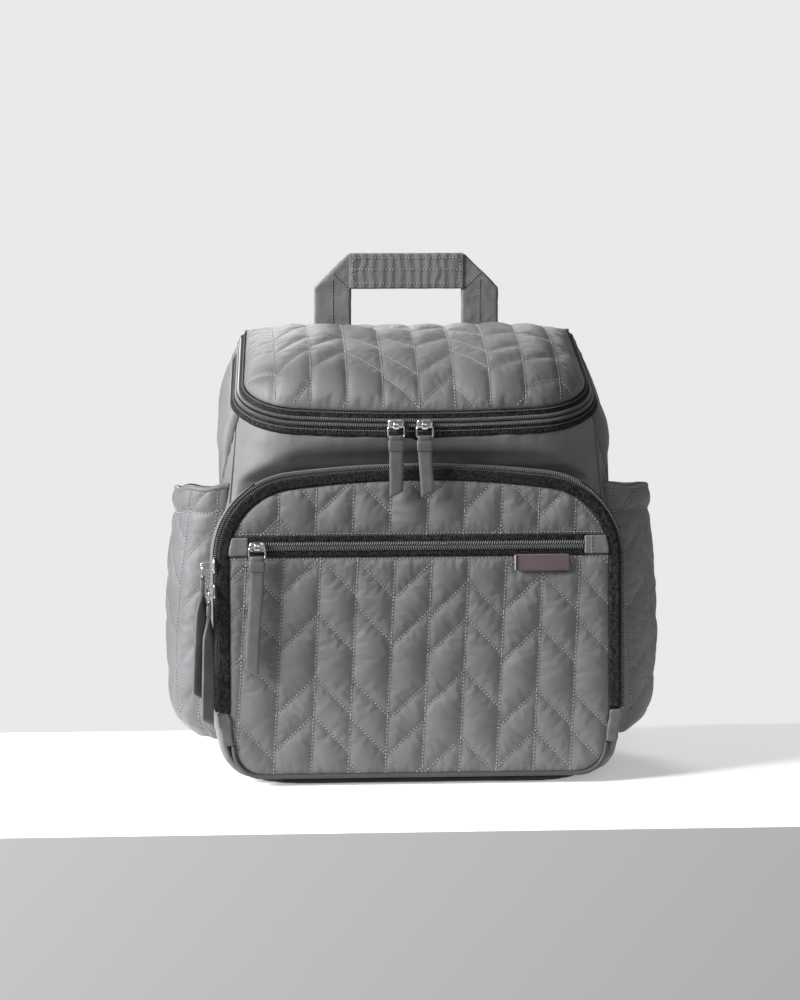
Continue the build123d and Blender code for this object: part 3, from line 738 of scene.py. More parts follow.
def quilting(first_x, lean, heights, low, high, columns, shift=0, rise=30.0):
    """Upright lines and, between them, slanting ones that meet in points. heights are each column's upper ends."""
    def upright(k, v):
        return first_x + QUILT_PITCH * k + lean * v

    seams = [((upright(k, low), low), (upright(k, high), high)) for k in range(columns)]
    for k in range(-1, columns):
        right_up = DIRECTIONS[(k + 1 + shift) % 6] == "/"
        for top in heights[(k + 1) % len(heights)]:
            for cycle in (-2, -1, 0, 1, 2):
                upper = top + cycle * QUILT_REPEAT
                if upper - rise > high or upper < low:
                    continue
                left, right = (upper - rise, upper) if right_up else (upper, upper - rise)
                seams.append(((upright(k, left), left), (upright(k + 1, right), right)))
    return seams


FRONT_HEIGHTS = [(118, 86, 45), (118, 86, 45), (125, 79, 28), (124, 79, 28), (122, 86, 26), (120, 82, 22),
                 (105, 75, 32), (105, 75, 32), (110, 68, 16), (110, 68, 16), (110, 74, 14)]
UPPER_HEIGHTS = [(175, 140), (156,), (156, 197), (188,), (190,), (200,), (200,), (192, 149), (190, 149), (186,),
                 (170,)]
LID_SLANTS = [[(-24, -38)], [(25, 62), (-7, 18), (-38, -9), (-76, -52)],
              [(62, 90), (-7, 20), (-38, -14), (-92, -66)],
              [(92, 52), (22, -3), (-14, -42), (-68, -94)], [(72, 50), (26, 2), (-14, -44), (-46, -72)],
              [(46, 60), (4, 24), (-43, -15), (-71, -46)], [(48, 25), (20, -13), (-8, -39), (-58, -80)],
              [(23, 34), (-14, 0), (-40, -24), (-82, -62)], [(31, 24), (-28, -14), (-56, -43)],
              [(22, 2), (-20, -42), (-43, -66)]]

FOLD_BEND = [(0, FLAP_FOLD[1] * MM, (FLAP_FOLD[2] + z) * MM) for z in (-6, 6)]


def on_flap(path, depth):
    """Puts an outline at a depth behind the flap's face."""
    return flap_point(path[:, 0], depth, path[:, 1])


def front_quilts():
    """The big quilted front, which reaches down past the flap's fold, and the smaller one above the pocket's zip.
    """
    def flap_front(uv, height):
        return on_flap(uv, 1.0 - height)

    top, low = POCKET_ZIP_Z - 7.5, POCKET_ZIP_Z + 7.5
    foot = rounded([(154.0, 0.0), (147.0, -51.0), (-147.0, -51.0), (-154.0, 0.0)], 24.0)
    outline = np.concatenate([foot, [[-154.0, top], [154.0, top]]])
    seams = quilting(-146.3, 0.053, FRONT_HEIGHTS, -55, top + 5, 10) + [((-160, top - 2.6), (160, top - 2.6))]
    panel("front_quilt", outline, seams, flap_front, ("bag", "front_flap", *FOLD_BEND), "quilted_fabric",
          ("pocket_quilt", "front_foot_quilt"), spacing=2.6, puff=3.9, edge_drop=0.4, skirt=2.0,
          flats=[(75.5, 111.0, 123.0, 127.0)])
    path = arch(0.0)
    outline = np.concatenate([path[path[:, 1] > low], [[-FLAP_HALF, low], [FLAP_HALF, low]]])
    seams = quilting(-151.5, 0.05, UPPER_HEIGHTS, low - 5, 190, 11, shift=5)
    seams += [((-160, low + 2.6), (160, low + 2.6))]
    panel("flap_upper_quilt_cloth", outline, seams, flap_front, "front_flap", "quilted_fabric",
          ("flap_upper_quilt",), spacing=2.6, puff=3.6, edge_drop=0.4, skirt=2.0)


LID_TAPE_TOP, LID_INSET, LID_BACK = 7.4, 6.2, 85.5


def lid_dome(inset, drop=0.0):
    """Places points on the lid: a dome over the rim that comes down steeply all round but at its back."""
    edge = rim_path(inset, LID_BACK + 6, 2.0)
    rim = list(zip(edge[:-1], edge[1:]))

    def height_at(x, y):
        gap = np.clip(distance(np.stack([x, y], -1), rim) / 55.0, 0, 1)
        side = (1 - (1 - gap) ** 2) ** 0.68
        stuffing = (3.6 * np.exp(-((x + 85) / 38.0) ** 2) + 2.0 * np.exp(-((x - 72) / 34.0) ** 2)
                    - np.exp(-(x / 32.0) ** 2))
        crown = (24.0 + stuffing) * (1 - (np.maximum(y + 10.0, 0) / 107.0) ** 2)
        return LID_TAPE_TOP - drop + (crown - 0.4 * drop) * side

    def place(uv, height):
        x, y = uv[:, 0], uv[:, 1]
        z, step = height_at(x, y), 1.5
        dx = (height_at(x + step, y) - height_at(x - step, y)) / (2 * step)
        dy = (height_at(x, y + step) - height_at(x, y - step)) / (2 * step)
        close = 1 - smoothstep(0, 6.0, distance(uv, rim))
        side = unit(uv - [0, 20.0])
        slope = np.stack([-dx, -dy], -1) * (1 - close)[:, None] + side * 1.2 * close[:, None]
        normal = unit(rim_point(np.clip(slope[:, 0], -2.5, 2.5), np.clip(slope[:, 1], -2.5, 2.5), 1.0) - RIM_MID)
        return rim_point(x, y, z) + normal * height[:, None]
    return place


def lid_pieces():
    first_x, pitch = -115.3, 28.9
    seams = [((first_x + pitch * k, -95.0), (first_x + pitch * k, 95.0)) for k in range(9)]
    for k, column in enumerate(LID_SLANTS):
        x = first_x + pitch * (k - 1)
        seams += [((x, left), (x + pitch, right)) for left, right in column]
    panel("lid_quilt_cloth", rim_path(LID_INSET, LID_BACK), seams, lid_dome(LID_INSET), "lid", "quilted_fabric",
          ("lid_quilt",), puff=3.8, skirt=1.5)
    under = lid_dome(LID_INSET + 3.5, 4.8)
    panel("lid_lining_cloth", rim_path(LID_INSET + 3.5, LID_BACK - 2), [], lambda uv, height: under(uv, -height),
          "lid", "lining", ("lid_lining",), spacing=4.5, puff=0.8, skirt=0.8, simulate=False, pucker=0.8)


# ---------------------------------------------------------------- main bag
def body_panels():
    def stuffed(p, n):
        """The side gussets stand out quickly under the zip."""
        depth = below_rim(p) - 9.0
        out = np.clip(n[:, 0] * np.sign(p[:, 0]), 0, 1) ** 2
        swell = 6.5 * np.sin(math.pi * (0.27 + 0.73 * np.clip(depth / 40.0, 0, 1))) ** 0.8
        sag = 1.8 * np.sin(math.pi * np.clip((p[:, 2] - 20) / 220.0, 0, 1))
        return RIGHT * ((swell + sag) * out * np.sign(p[:, 0]))[:, None]

    for name, _ in SIDES:
        soft_copy(f"{name}_gusset", "bag", "plain_fabric", 2.4, 6, 0.8, 34.0, stuffed)
    def front_sag(p, n):
        """The band between the two zips hollows a little in its middle."""
        depth = below_rim(p) - 9.0
        out = np.clip(-n[:, 1], 0, 1)
        middle = np.cos(np.clip(p[:, 0] / 105.0, -1, 1) * 1.5)
        hollow = 2.0 * np.sin(math.pi * np.clip((depth - 12.0) / 34.0, 0, 1)) * middle
        gathers = 0.45 * noise(p / [3.6, 30.0, 14.0], 1.0)
        top = 1 - smoothstep(0.0, 22.0, depth)
        return BACK * ((hollow - (3.7 + gathers) * top) * out)[:, None]

    front = soft_copy("main_front_panel", "bag", "plain_fabric", 2.4, 6, 0.7, 34.0, front_sag)
    soft_copy("back_panel", "bag", "plain_fabric", 2.4, 4, 0.4, 34.0)
    soft_copy("base_panel", "bag", "base_cloth", 2.2, 3, 0.2, 40.0)
    tree = surface(front)
    for name, side in SIDES:
        line = xyz(np.linspace(146.0, 152.5, 40) * side, -60.0, np.linspace(293.0, 224.0, 40))
        hits, _ = landed(tree, line, BACK, 60.0)
        seam = resample(hits[~np.isnan(hits[:, 0])] + FRONT * 0.2, 2.0)
        piece(f"{name}_shoulder_seam", sweep(seam, oval(1.1, 1.0), FRONT), "bag", "plain_fabric")


def front_compartment():
    def swollen(p, n):
        """The gusset round the front compartment is stuffed behind the zip."""
        depth = p[:, 1] - (FLAP_FOLD[1] + (p[:, 2] - FLAP_FOLD[2]) * math.tan(FLAP_TILT))
        out = np.clip(n[:, 0] * np.sign(p[:, 0]), 0, 1)
        swell = 5.5 * np.sin(math.pi * np.clip((depth - 10.0) / 52.0, 0, 1)) ** 0.7
        low = smoothstep(2.0, 30.0, p[:, 2])
        top = np.clip(n[:, 2], 0, 1) * 2.0 * np.sin(math.pi * np.clip((depth - 10.0) / 40.0, 0, 1))
        return RIGHT * (swell * out * np.sign(p[:, 0]) * low)[:, None] + UP * (top * (p[:, 2] > 200))[:, None]

    soft_copy("front_gusset", "bag", "plain_fabric", 2.2, 6, 0.7, 30.0, swollen)
    # The end covers take the darker webbing cloth instead of the plain cloth: painted shade that darkens them as
    # the shade on them does.
    soft_copy("flap_zip_end_covers", "bag", "webbing", 1.2, 5, 0.5, 10.0)

    lip = arch(11.9, 2.0, 2.0)
    over_top = np.nonzero(lip[:, 1] > 184.0)[0]
    first, last = over_top[0], over_top[-1] + 1
    # The lip's top is the plain cloth; along both sides the same lip takes the near-black zip-tape cloth, painted
    # shade where the gusset lies in shade beside the coil.
    for name, runs, slot in (("top", [lip[first - 1:last + 1]], "plain_fabric"),
                             ("sides", [lip[:first], lip[last:]], "zip_tape")):
        parts = []
        for run in runs:
            edge = on_flap(run, 8.4)
            parts += [sweep(edge, oval(0.75, 0.9), FLAP_OUT), ribbon(edge, on_flap(run, 14.0), 0.8)]
        piece(f"front_gusset_lip_{name}", joined(parts), "bag", slot)

    path = rounded([(-151.0, -27.0), (-148.0, -52.0), (148.0, -52.0), (151.0, -27.0)], 22.0, step=2.0)
    piece("base_piping_cloth", sweep(on_flap(path, 1.2), oval(1.9, 2.2), FLAP_OUT), "bag", "base_cloth",
          nodes=("base_piping",))
    corners = [(-151.7, -8.0), (-150.0, -30.0), (-147.0, -51.0), (147.0, -51.0), (150.0, -30.0), (151.7, -8.0)]
    path = rounded(corners, 21.0, step=2.0)
    piece("front_foot_binding", ribbon(on_flap(path, 1.2), on_flap(path, 16.0), 0.8), "bag", "plain_fabric")


def lid_hinge():
    """Piping along the back of the lid, and a facing inside across the hinge."""
    line = xyz(np.linspace(-138, 138, 90), 79.0, 355.0)
    line[:, 2] += 0.25 * noise(line, 14.0)
    piece("lid_hinge_piping_cloth", sweep(line, oval(2.0, 2.0, 12), UP), "bag", "plain_fabric",
          nodes=("lid_hinge_piping",))
    x = np.linspace(-136.0, 136.0, 60)
    rows = [xyz(x, y, z) for y, z in ((78.1, 346.5), (77.9, 352.2), (75.4, 353.6))]
    body = ("bag", "lid", (0, 78.0 * MM, 351.0 * MM), (0, 76.0 * MM, 353.6 * MM))
    piece("lid_hinge_facing", joined([ribbon(a, b, 0.8) for a, b in zip(rows, rows[1:])]), body, "lining")


def back_cushion():
    def on_back(uv, height):
        return xyz(-uv[:, 0], 83.0 + height, uv[:, 1])

    outline = rounded([(-131, 39), (131, 39), (131, 325), (-131, 325)], 24.0, closed=True)[:-1]
    seams = [((x, 30), (x, 335)) for x in (-74, 74, -8, 8)]
    seams += [((x, z), (x + step, z + abs(step) * 0.5)) for z in (60, 115, 170, 225, 280)
              for x, step in ((8, 66), (-8, -66))]
    panel("back_pad_mesh", outline, seams, on_back, "bag", "air_mesh", ("back_pad",), spacing=4.0, puff=4.2,
          edge_drop=1.2, skirt=1.0)


def main_lining():
    """The lining lies on the inside of its CAD solid, which rays from the bag's middle find, in soft folds."""
    tree = surface(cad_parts["main_lining"])
    turns, levels, floor_rings = 200, 46, 12
    middle = np.array([0.0, 15.0, 0.0])
    low, high = 6.5, RIM_MID[2] + middle[1] * math.tan(RIM_TILT) - 10.5
    wall = np.empty((levels, turns, 3))
    for row, share in zip(wall, np.linspace(0, 1, levels)):
        start = Vector(middle + UP * (low + (high - low) * share))
        for k, angle in enumerate(np.linspace(0, 2 * math.pi, turns, endpoint=False)):
            d = Vector((math.cos(angle), math.sin(angle), math.sin(angle) * math.tan(RIM_TILT) * share ** 1.5))
            hit = tree.ray_cast(start, d.normalized(), 400.0)[0]
            row[k] = hit if hit is not None else math.nan
        bad = np.isnan(row[:, 0])
        for k in range(3):
            row[bad, k] = np.interp(np.nonzero(bad)[0], np.nonzero(~bad)[0], row[~bad, k])
    inward = unit(middle + UP * 170.0 - wall) * [1, 1, 0]
    swell = 1.2 + 1.4 * noise(wall.reshape(-1, 3), (26.0, 26.0, 60.0)).reshape(levels, turns)
    wall += inward * (np.sin(math.pi * np.linspace(0, 1, levels))[:, None] * swell)[..., None]
    floor = [wall[0] * [k, k, 1] + middle * (1 - k) for k in np.linspace(0.02, 0.97, floor_rings)]
    points = np.concatenate([floor, wall]).reshape(-1, 3)
    faces = [f[::-1] for f in grid_faces(levels + floor_rings, turns, wrap_columns=True)]
    piece("main_lining_cloth", (points, faces), "bag", "lining", nodes=("main_lining",))


def linings():
    main_lining()

    def on_wall(uv, height):
        return xyz(uv[:, 0], 66.6 - height, uv[:, 1])

    outline = rounded([(-105, 70), (105, 70), (105, 199), (-105, 199)], 8.0, closed=True)[:-1]
    panel("inner_slip_pocket_cloth", outline, [((-105, 188), (105, 188))], on_wall, "bag", "lining",
          ("inner_slip_pocket",), spacing=4.5, puff=1.2, edge_drop=0.4, skirt=8.0, simulate=False)
    seams = [((-140, POCKET_ZIP_Z), (140, POCKET_ZIP_Z))]
    panel("flap_lining_cloth", arch(-0.8, 1.0), seams, lambda uv, height: on_flap(uv, 6.0 + height), "front_flap",
          "lining", ("flap_pocket_lining",), spacing=4.5, puff=1.0, edge_drop=0.6, skirt=3.4, simulate=False)


# ---------------------------------------------------------------- zips
def zip_row(name, path, place, depth, reach, half_out, body, nodes, pitch, shift=0.0, slant=0.0):
    """A row of coil loops along a path, over a dark cord; depth is the middle of the row, and reach its width."""
    fine = resample(path, 0.1)
    step = int(round(pitch * 10))
    path = fine[int(shift * step)::step]
    centre = place(path, np.full(len(path), depth))
    across = unit(place(path, np.full(len(path), depth + 1.0)) - centre)
    along = unit(np.gradient(centre, axis=0))
    out = unit(np.cross(along, across))
    piece(name + "_cord", sweep(centre, oval(0.55 * half_out, 0.42 * reach, 8, 0.7), across), body, "zip_tape")
    lean = unit(across + slant * along)
    beads = scattered(centre, lean, np.cross(out, lean), out, (reach, 0.42 * pitch, 2 * half_out))
    piece(name, beads, body, "zip_coil", nodes=nodes)


def lid_zip():
    def on_rim(path, depth):
        path = path - outward(path) * (RIM_LEAN * np.broadcast_to(depth, len(path)))[:, None]
        return rim_point(path[:, 0], path[:, 1], depth)

    path = rim_path(1.0, 84.0)
    zip_row("lid_zip_body_coil", path, on_rim, -1.7, 3.3, 1.0, "bag", ("lid_zip_body_teeth",), FINE_TEETH, 0.0,
            -0.3)
    zip_row("lid_zip_lid_coil", path, on_rim, 1.7, 3.3, 1.0, "lid", ("lid_zip_lid_teeth",), FINE_TEETH, 0.5, 0.3)
    for name, body, low, high, back, seam in (("body", "bag", -9.8, -2.4, 76.5, -5.8),
                                              ("lid", "lid", 2.4, 8.0, 84.5, 6.4)):
        path = rim_path(1.5, back, 3.0)
        parts = [ribbon(on_rim(path, low), on_rim(path, high), 0.9)]
        if body == "bag":
            under = path - 1.4 * outward(path)
            parts.append(ribbon(rim_point(under[:, 0], under[:, 1] - 13.5 * math.tan(RIM_TILT), -13.5),
                                on_rim(path, low + 0.4), 0.8))
        band = piece(f"lid_zip_{name}_cloth", joined(parts), body, "zip_tape", nodes=(f"lid_zip_{name}_tape",))
        inward = -unit(rim_point(*outward(path).T, RIM_LEAN) - RIM_MID)
        stitches = stitched(surface(band), on_rim(path, seam), inward, 2.4, 1.5)
        sewn(f"lid_zip_{name}_stitches", [stitches], body, "zip_tape", THREAD_DARK)

    for name, side in SIDES:
        edges = []
        for x, back, radius, level, lift in ((142.5, 80.8, 5.0, -0.2, 4.0), (148.4, 82.0, 10.0, -9.8, 0.0),
                                             (148.6, 81.8, 16.0, -15.0, 0.0)):
            plan = rounded([(x, 64.0), (x, back), (130.0, back)], radius, step=0.5)
            plan = resample(plan, run_along(plan)[-1] / 27)
            level = level + lift * smoothstep(76.5, 80.5, plan[:, 1])
            flat_y = (plan[:, 1] + level * math.sin(RIM_TILT)) / math.cos(RIM_TILT)
            edges.append(rim_point(plan[:, 0] * side, flat_y, level))
        strips = [ribbon(a, b, 1.0) for a, b in zip(edges, edges[1:])]
        piece(f"lid_zip_{name}_end_tab", joined(strips), "bag", "plain_fabric")


def flap_zip():
    def round_flap(path, grow):
        return on_flap(path + outward(path) * np.broadcast_to(grow, len(path))[:, None], 1.6)

    zip_row("flap_zip_flap_coil", arch(8.0), on_flap, 2.5, 3.4, 1.1, "front_flap", ("flap_zip_flap_teeth",),
            FINE_TEETH)
    zip_row("flap_zip_body_coil", arch(9.2), round_flap, 1.1, 3.1, 1.1, "bag", ("flap_zip_body_teeth",), FINE_TEETH,
            0.5, 0.25)
    path = arch(4.0, step=3.0)
    normal = outward(path)
    strip = ribbon(on_flap(path - normal * 4.6, 0.9), on_flap(path + normal * 4.2, 0.4), 0.9)
    piece("flap_zip_flap_cloth", strip, "front_flap", "zip_tape", nodes=("flap_zip_flap_tape",))
    path = arch(9.5, step=3.0)
    strip = ribbon(on_flap(path, 5.4), on_flap(path, 12.5), 0.9)
    piece("flap_zip_body_cloth", strip, "bag", "zip_tape", nodes=("flap_zip_body_tape",))


def pocket_zip():
    def on_pocket(path, level):
        return flap_point(path[:, 0], path[:, 1], level)

    path = np.array([(POCKET_ZIP_START, 0.2), (POCKET_ZIP_END, 0.2)])
    for name, side, nodes, shift in (("coils", -1, ("pocket_zip_teeth",), 0.0), ("upper_coil", 1, (), 0.5)):
        zip_row(f"pocket_zip_{name}", path, on_pocket, POCKET_ZIP_Z + side * 1.8, 3.7, 1.1, "front_flap", nodes,
                WIDE_TEETH, shift, side * 0.35)
    path = resample([(POCKET_ZIP_START - 1, 0.7), (POCKET_ZIP_END + 1, 0.7)], 3.0)
    parts = [ribbon(on_pocket(path, POCKET_ZIP_Z + low), on_pocket(path, POCKET_ZIP_Z + high), 0.9)
             for low, high in ((-8.4, -2.6), (2.6, 8.4))]
    piece("pocket_zip_cloth", joined(parts), "front_flap", "zip_tape", nodes=("pocket_zip_tapes",))
    tabs = soft_copy("pocket_zip_end_tabs", "front_flap", "quilted_fabric", 0.9, 4, 0.2, 8.0)
    row = flap_point(139.5, -1.0, POCKET_ZIP_Z + np.array([-6.0, 6.0]))
    sew("pocket_zip_end_stitches", "front_flap", tabs, [row], -FLAP_OUT, "quilted_fabric", THREAD_LIGHT, 25.0)


def label():
    """A blank woven label, folded at its left edge."""
    def on_label(uv, height):
        bow = 0.5 * np.sin((uv[:, 0] - 77) / 44.5 * math.pi)
        return on_flap(uv, -2.3 - height - bow)

    outline = rounded([(77, 112.5), (121.5, 112.5), (121.5, 126), (77, 126)], 0.8, closed=True, step=1.2)[:-1]
    panel("label", outline, [], on_label, "front_flap", "label_cloth", ("blank_label",), spacing=1.5, puff=0.3,
          skirt=1.2, simulate=False, pucker=0.12)
    fold = on_flap(resample([(77.2, 113.0), (77.2, 125.6)], 1.5), -2.9)
    piece("label_fold", sweep(fold, oval(0.7, 0.45, 8), FLAP_OUT), "front_flap", "label_cloth", THREAD_LIGHT)


# ---------------------------------------------------------------- side pockets
POCKET_AXIS_X, POCKET_AXIS_Y, POCKET_HALF = 148.0, 17.0, 55.0
HEM_LOW, HEM_HIGH = 211.0, 231.0


def pocket_out(z):
    """How far the side pocket's middle stands out at a height."""
    heights = np.linspace(15, 240, 226)
    out = np.interp(heights, [27, 30, 36, 46, 61, 115, 160, 200, 226, 236],
                    [180, 188, 196, 200, 202.5, 205, 203, 199, 198.5, 194])
    out = np.convolve(np.pad(out, 6, mode="edge"), np.ones(13) / 13, mode="valid")
    return np.interp(z, heights, out) - 2.2 * np.exp(-((z - HEM_LOW) / 4.5) ** 2)


def side_pockets():
    foot, wide, top = 27.0, 83.0, HEM_HIGH - 1
    for name, sign in SIDES:
        def on_side(uv, height, sign=sign):
            angle = uv[:, 0] / POCKET_HALF
            z = np.maximum(uv[:, 1], foot)
            share = 1 - np.clip((foot - uv[:, 1]) / 46.0, 0, 0.95)
            half = (POCKET_HALF - 7.0 * (1 - smoothstep(foot, 75, z))) * (0.35 + 0.65 * share)
            reach = (pocket_out(z) - POCKET_AXIS_X) * share
            c, s = np.cos(angle), np.sin(angle)
            normal = unit(xyz(c * half * sign, s * reach, 0))
            under = np.clip((30.0 - uv[:, 1]) / 6.0, 0, 1)[:, None]
            normal = unit(normal * (1 - under) - UP * under)
            slump = 1.6 * noise(xyz(uv[:, 0] / 21.0, sign, 0), 1.0)
            z = z + (slump - 6.5 * s) * smoothstep(120, HEM_HIGH, z)
            point = xyz((POCKET_AXIS_X + reach * np.abs(c) ** 0.8 * np.sign(c)) * sign,
                        POCKET_AXIS_Y + half * np.sign(s) * np.abs(s) ** 0.88, z)
            return point + normal * height[:, None]

        outline = np.array([(-wide, -12.0), (wide, -12.0), (wide, top), (-wide, top)])
        heights = [(212, 172, 130), (198, 158, 112) if sign < 0 else (233, 200, 158), (215, 180, 140),
                   (206, 166, 128)]
        seams = quilting(-51.0, -0.11, heights, -12, HEM_HIGH + 2, 5, shift=0 if sign < 0 else 1, rise=27.0)
        seams += [((-wide, HEM_LOW), (wide, HEM_LOW))]
        panel(f"{name}_side_pocket_quilt", outline, seams, on_side, "bag", "quilted_fabric",
              (f"{name}_side_pocket", f"{name}_side_pocket_hem"), spacing=3.2, puff=3.2, skirt=1.0)
        edge = np.stack([np.linspace(-wide - 1, wide + 1, 110), np.full(110, HEM_HIGH - 1.4)], -1)
        rim = on_side(edge, np.full(110, -1.2))
        out = on_side(edge, np.full(110, 1.0)) - rim
        piece(f"{name}_side_pocket_rim", sweep(rim, oval(2.6, 2.3, 14), unit(out)), "bag", "quilted_fabric")
        s, v = np.meshgrid(np.linspace(-wide, wide, 60), np.linspace(28, top, 60), indexing="ij")
        uv = np.stack([s.ravel(), v.ravel()], -1)
        inner = on_side(uv, -3.6 - 0.6 * noise(on_side(uv, np.zeros(len(uv))), 24.0))
        faces = grid_faces(60, 60)
        faces = faces[::-1] if sign > 0 else [f[::-1] for f in faces]
        piece(f"{name}_side_pocket_lining", (inner, faces), "bag", "lining")


# ---------------------------------------------------------------- handle and shoulder straps
def carry_handle():
    def gathered(p, n):
        """Fine gathers across the grip between its rows of stitching."""
        return n * (0.2 * np.sin(p[:, 0] / 3.9 * math.pi + 2.0 * noise(p, 9.0)) * np.abs(n[:, 1]))[:, None]

    strap = soft_copy("handle_strap", "handle", "plain_fabric", 1.2, 3, 0.45, 14.0)
    lines = [xyz(x, 60.0, [349.0, 398.0]) for x in (-62.7, 62.7)]
    lines += [xyz([x * 49.5, x * 73.0], 60.0, [391.0, 414.0]) for x in (-1, 1)]
    sew("handle_stitches", "handle", strap, lines, BACK, "plain_fabric")
    grip = soft_copy("handle_grip", "handle", "plain_fabric", 0.9, 4, 0.2, 14.0, gathered)
    box = rounded([(-46.0, 395.5), (46.0, 395.5), (46.0, 417.0), (-46.0, 417.0)], 4.5, closed=True)
    rows = [xyz(box[:, 0], 60.0, box[:, 1]), xyz([-46.0, 46.0], 60.0, 407.4)]
    sew("handle_grip_stitches", "handle", grip, rows, BACK, "plain_fabric", THREAD_LIGHT)
    rows = [row * [1, -1, 1] + [0, 180, 0] for row in rows]
    sew("handle_grip_back_stitches", "handle", grip, rows, FRONT, "plain_fabric", THREAD_LIGHT)
    anchors = soft_copy("handle_anchors", "bag", "plain_fabric", 1.2, 3, 0.2, 14.0)
    lines = []
    for x in (-62.7, 62.7):
        lines += box_lines([(x - 12, 335.0), (x + 12, 335.0), (x + 12, 340.5), (x - 12, 340.5)], 120.0)
    sew("handle_anchor_stitches", "bag", anchors, lines, FRONT, "plain_fabric")


def arc_through(a, b, c, count=40):
    """Points on the circle through three points of a plane."""
    a, b, c = (np.array(p, float) for p in (a, b, c))
    m = np.array([b - a, c - a]) * 2
    centre = np.linalg.solve(m, [b @ b - a @ a, c @ c - a @ a])
    start, end = (math.atan2(*(p - centre)[::-1]) for p in (a, c))
    turn = (end - start + math.pi) % (2 * math.pi) - math.pi
    t = start + turn * np.linspace(0, 1, count)
    return centre + np.linalg.norm(a - centre) * np.stack([np.cos(t), np.sin(t)], -1)


def shoulder_straps():
    low, mid, high = 132.0, 225.0, 328.5
    side = arc_through((98.0, 320.5), (126.0, mid), (112.0, low))
    edges = [arc_through((24.0, high), (42.0, mid), (62.0, low)),
             arc_through((76.0, high), (97.0, mid), (104.0, low))]
    z = np.linspace(318.0, 136.0, 80)
    depth = np.interp(z, side[::-1, 1], side[::-1, 0])
    for name, sign in SIDES:
        body = f"{name}_strap"
        pad = soft_copy(f"{name}_strap_pad", body, "air_mesh", 1.8, 8, 0.5, 26.0)
        bindings, stitches = [], []
        for edge, inset in zip(edges, (5.0, -5.0)):
            x = np.interp(z, edge[::-1, 1], edge[::-1, 0])
            bindings.append(sweep(resample(xyz(x * sign, depth - 4.5, z), 3.0), oval(2.2, 4.9, 14, 0.7), BACK))
            stitches.append(xyz((x + inset) * sign, depth, z))
        end = xyz(np.linspace(60, 106, 20) * sign, 108.0, 133.0)
        bindings.append(sweep(end, oval(2.0, 4.9, 14, 0.7), BACK))
        piece(f"{name}_strap_binding", joined(bindings), body, "webbing")
        stitches.append((stitches[0] + stitches[1]) / 2)
        sew(f"{name}_strap_stitches", body, pad, stitches, FRONT, "webbing", THREAD_LIGHT, 25.0)
        soft_copy(f"{name}_strap_webbing", body, "webbing", 0.75, 2, 0.15, 12.0)
    yokes = soft_copy("strap_yokes", "bag", "webbing", 1.3, 3, 0.2, 14.0)
    lines = [xyz([28.0 * sign, 72.0 * sign], 130.0, z) for _, sign in SIDES for z in (327.6, 330.4)]
    sew("strap_yoke_stitches", "bag", yokes, lines, FRONT, "webbing")
    anchors = soft_copy("strap_anchors", "bag", "webbing", 1.2, 3, 0.2, 14.0)
    lines = []
    for _, sign in SIDES:
        box = [(104 * sign, 17.0), (125 * sign, 17.0), (123 * sign, 33.0), (106 * sign, 33.0)]
        lines += box_lines(box, 130.0)
        lines += [xyz([a[0], b[0]], 130.0, [a[1], b[1]]) for a, b in ((box[0], box[2]), (box[1], box[3]))]
    sew("strap_anchor_stitches", "bag", anchors, lines, FRONT, "webbing")


# ---------------------------------------------------------------- sliders and pulls
WIRE, RING_HALF, RING_DROP, PULL_HALF = 0.7, 6.5, 9.0, 5.5


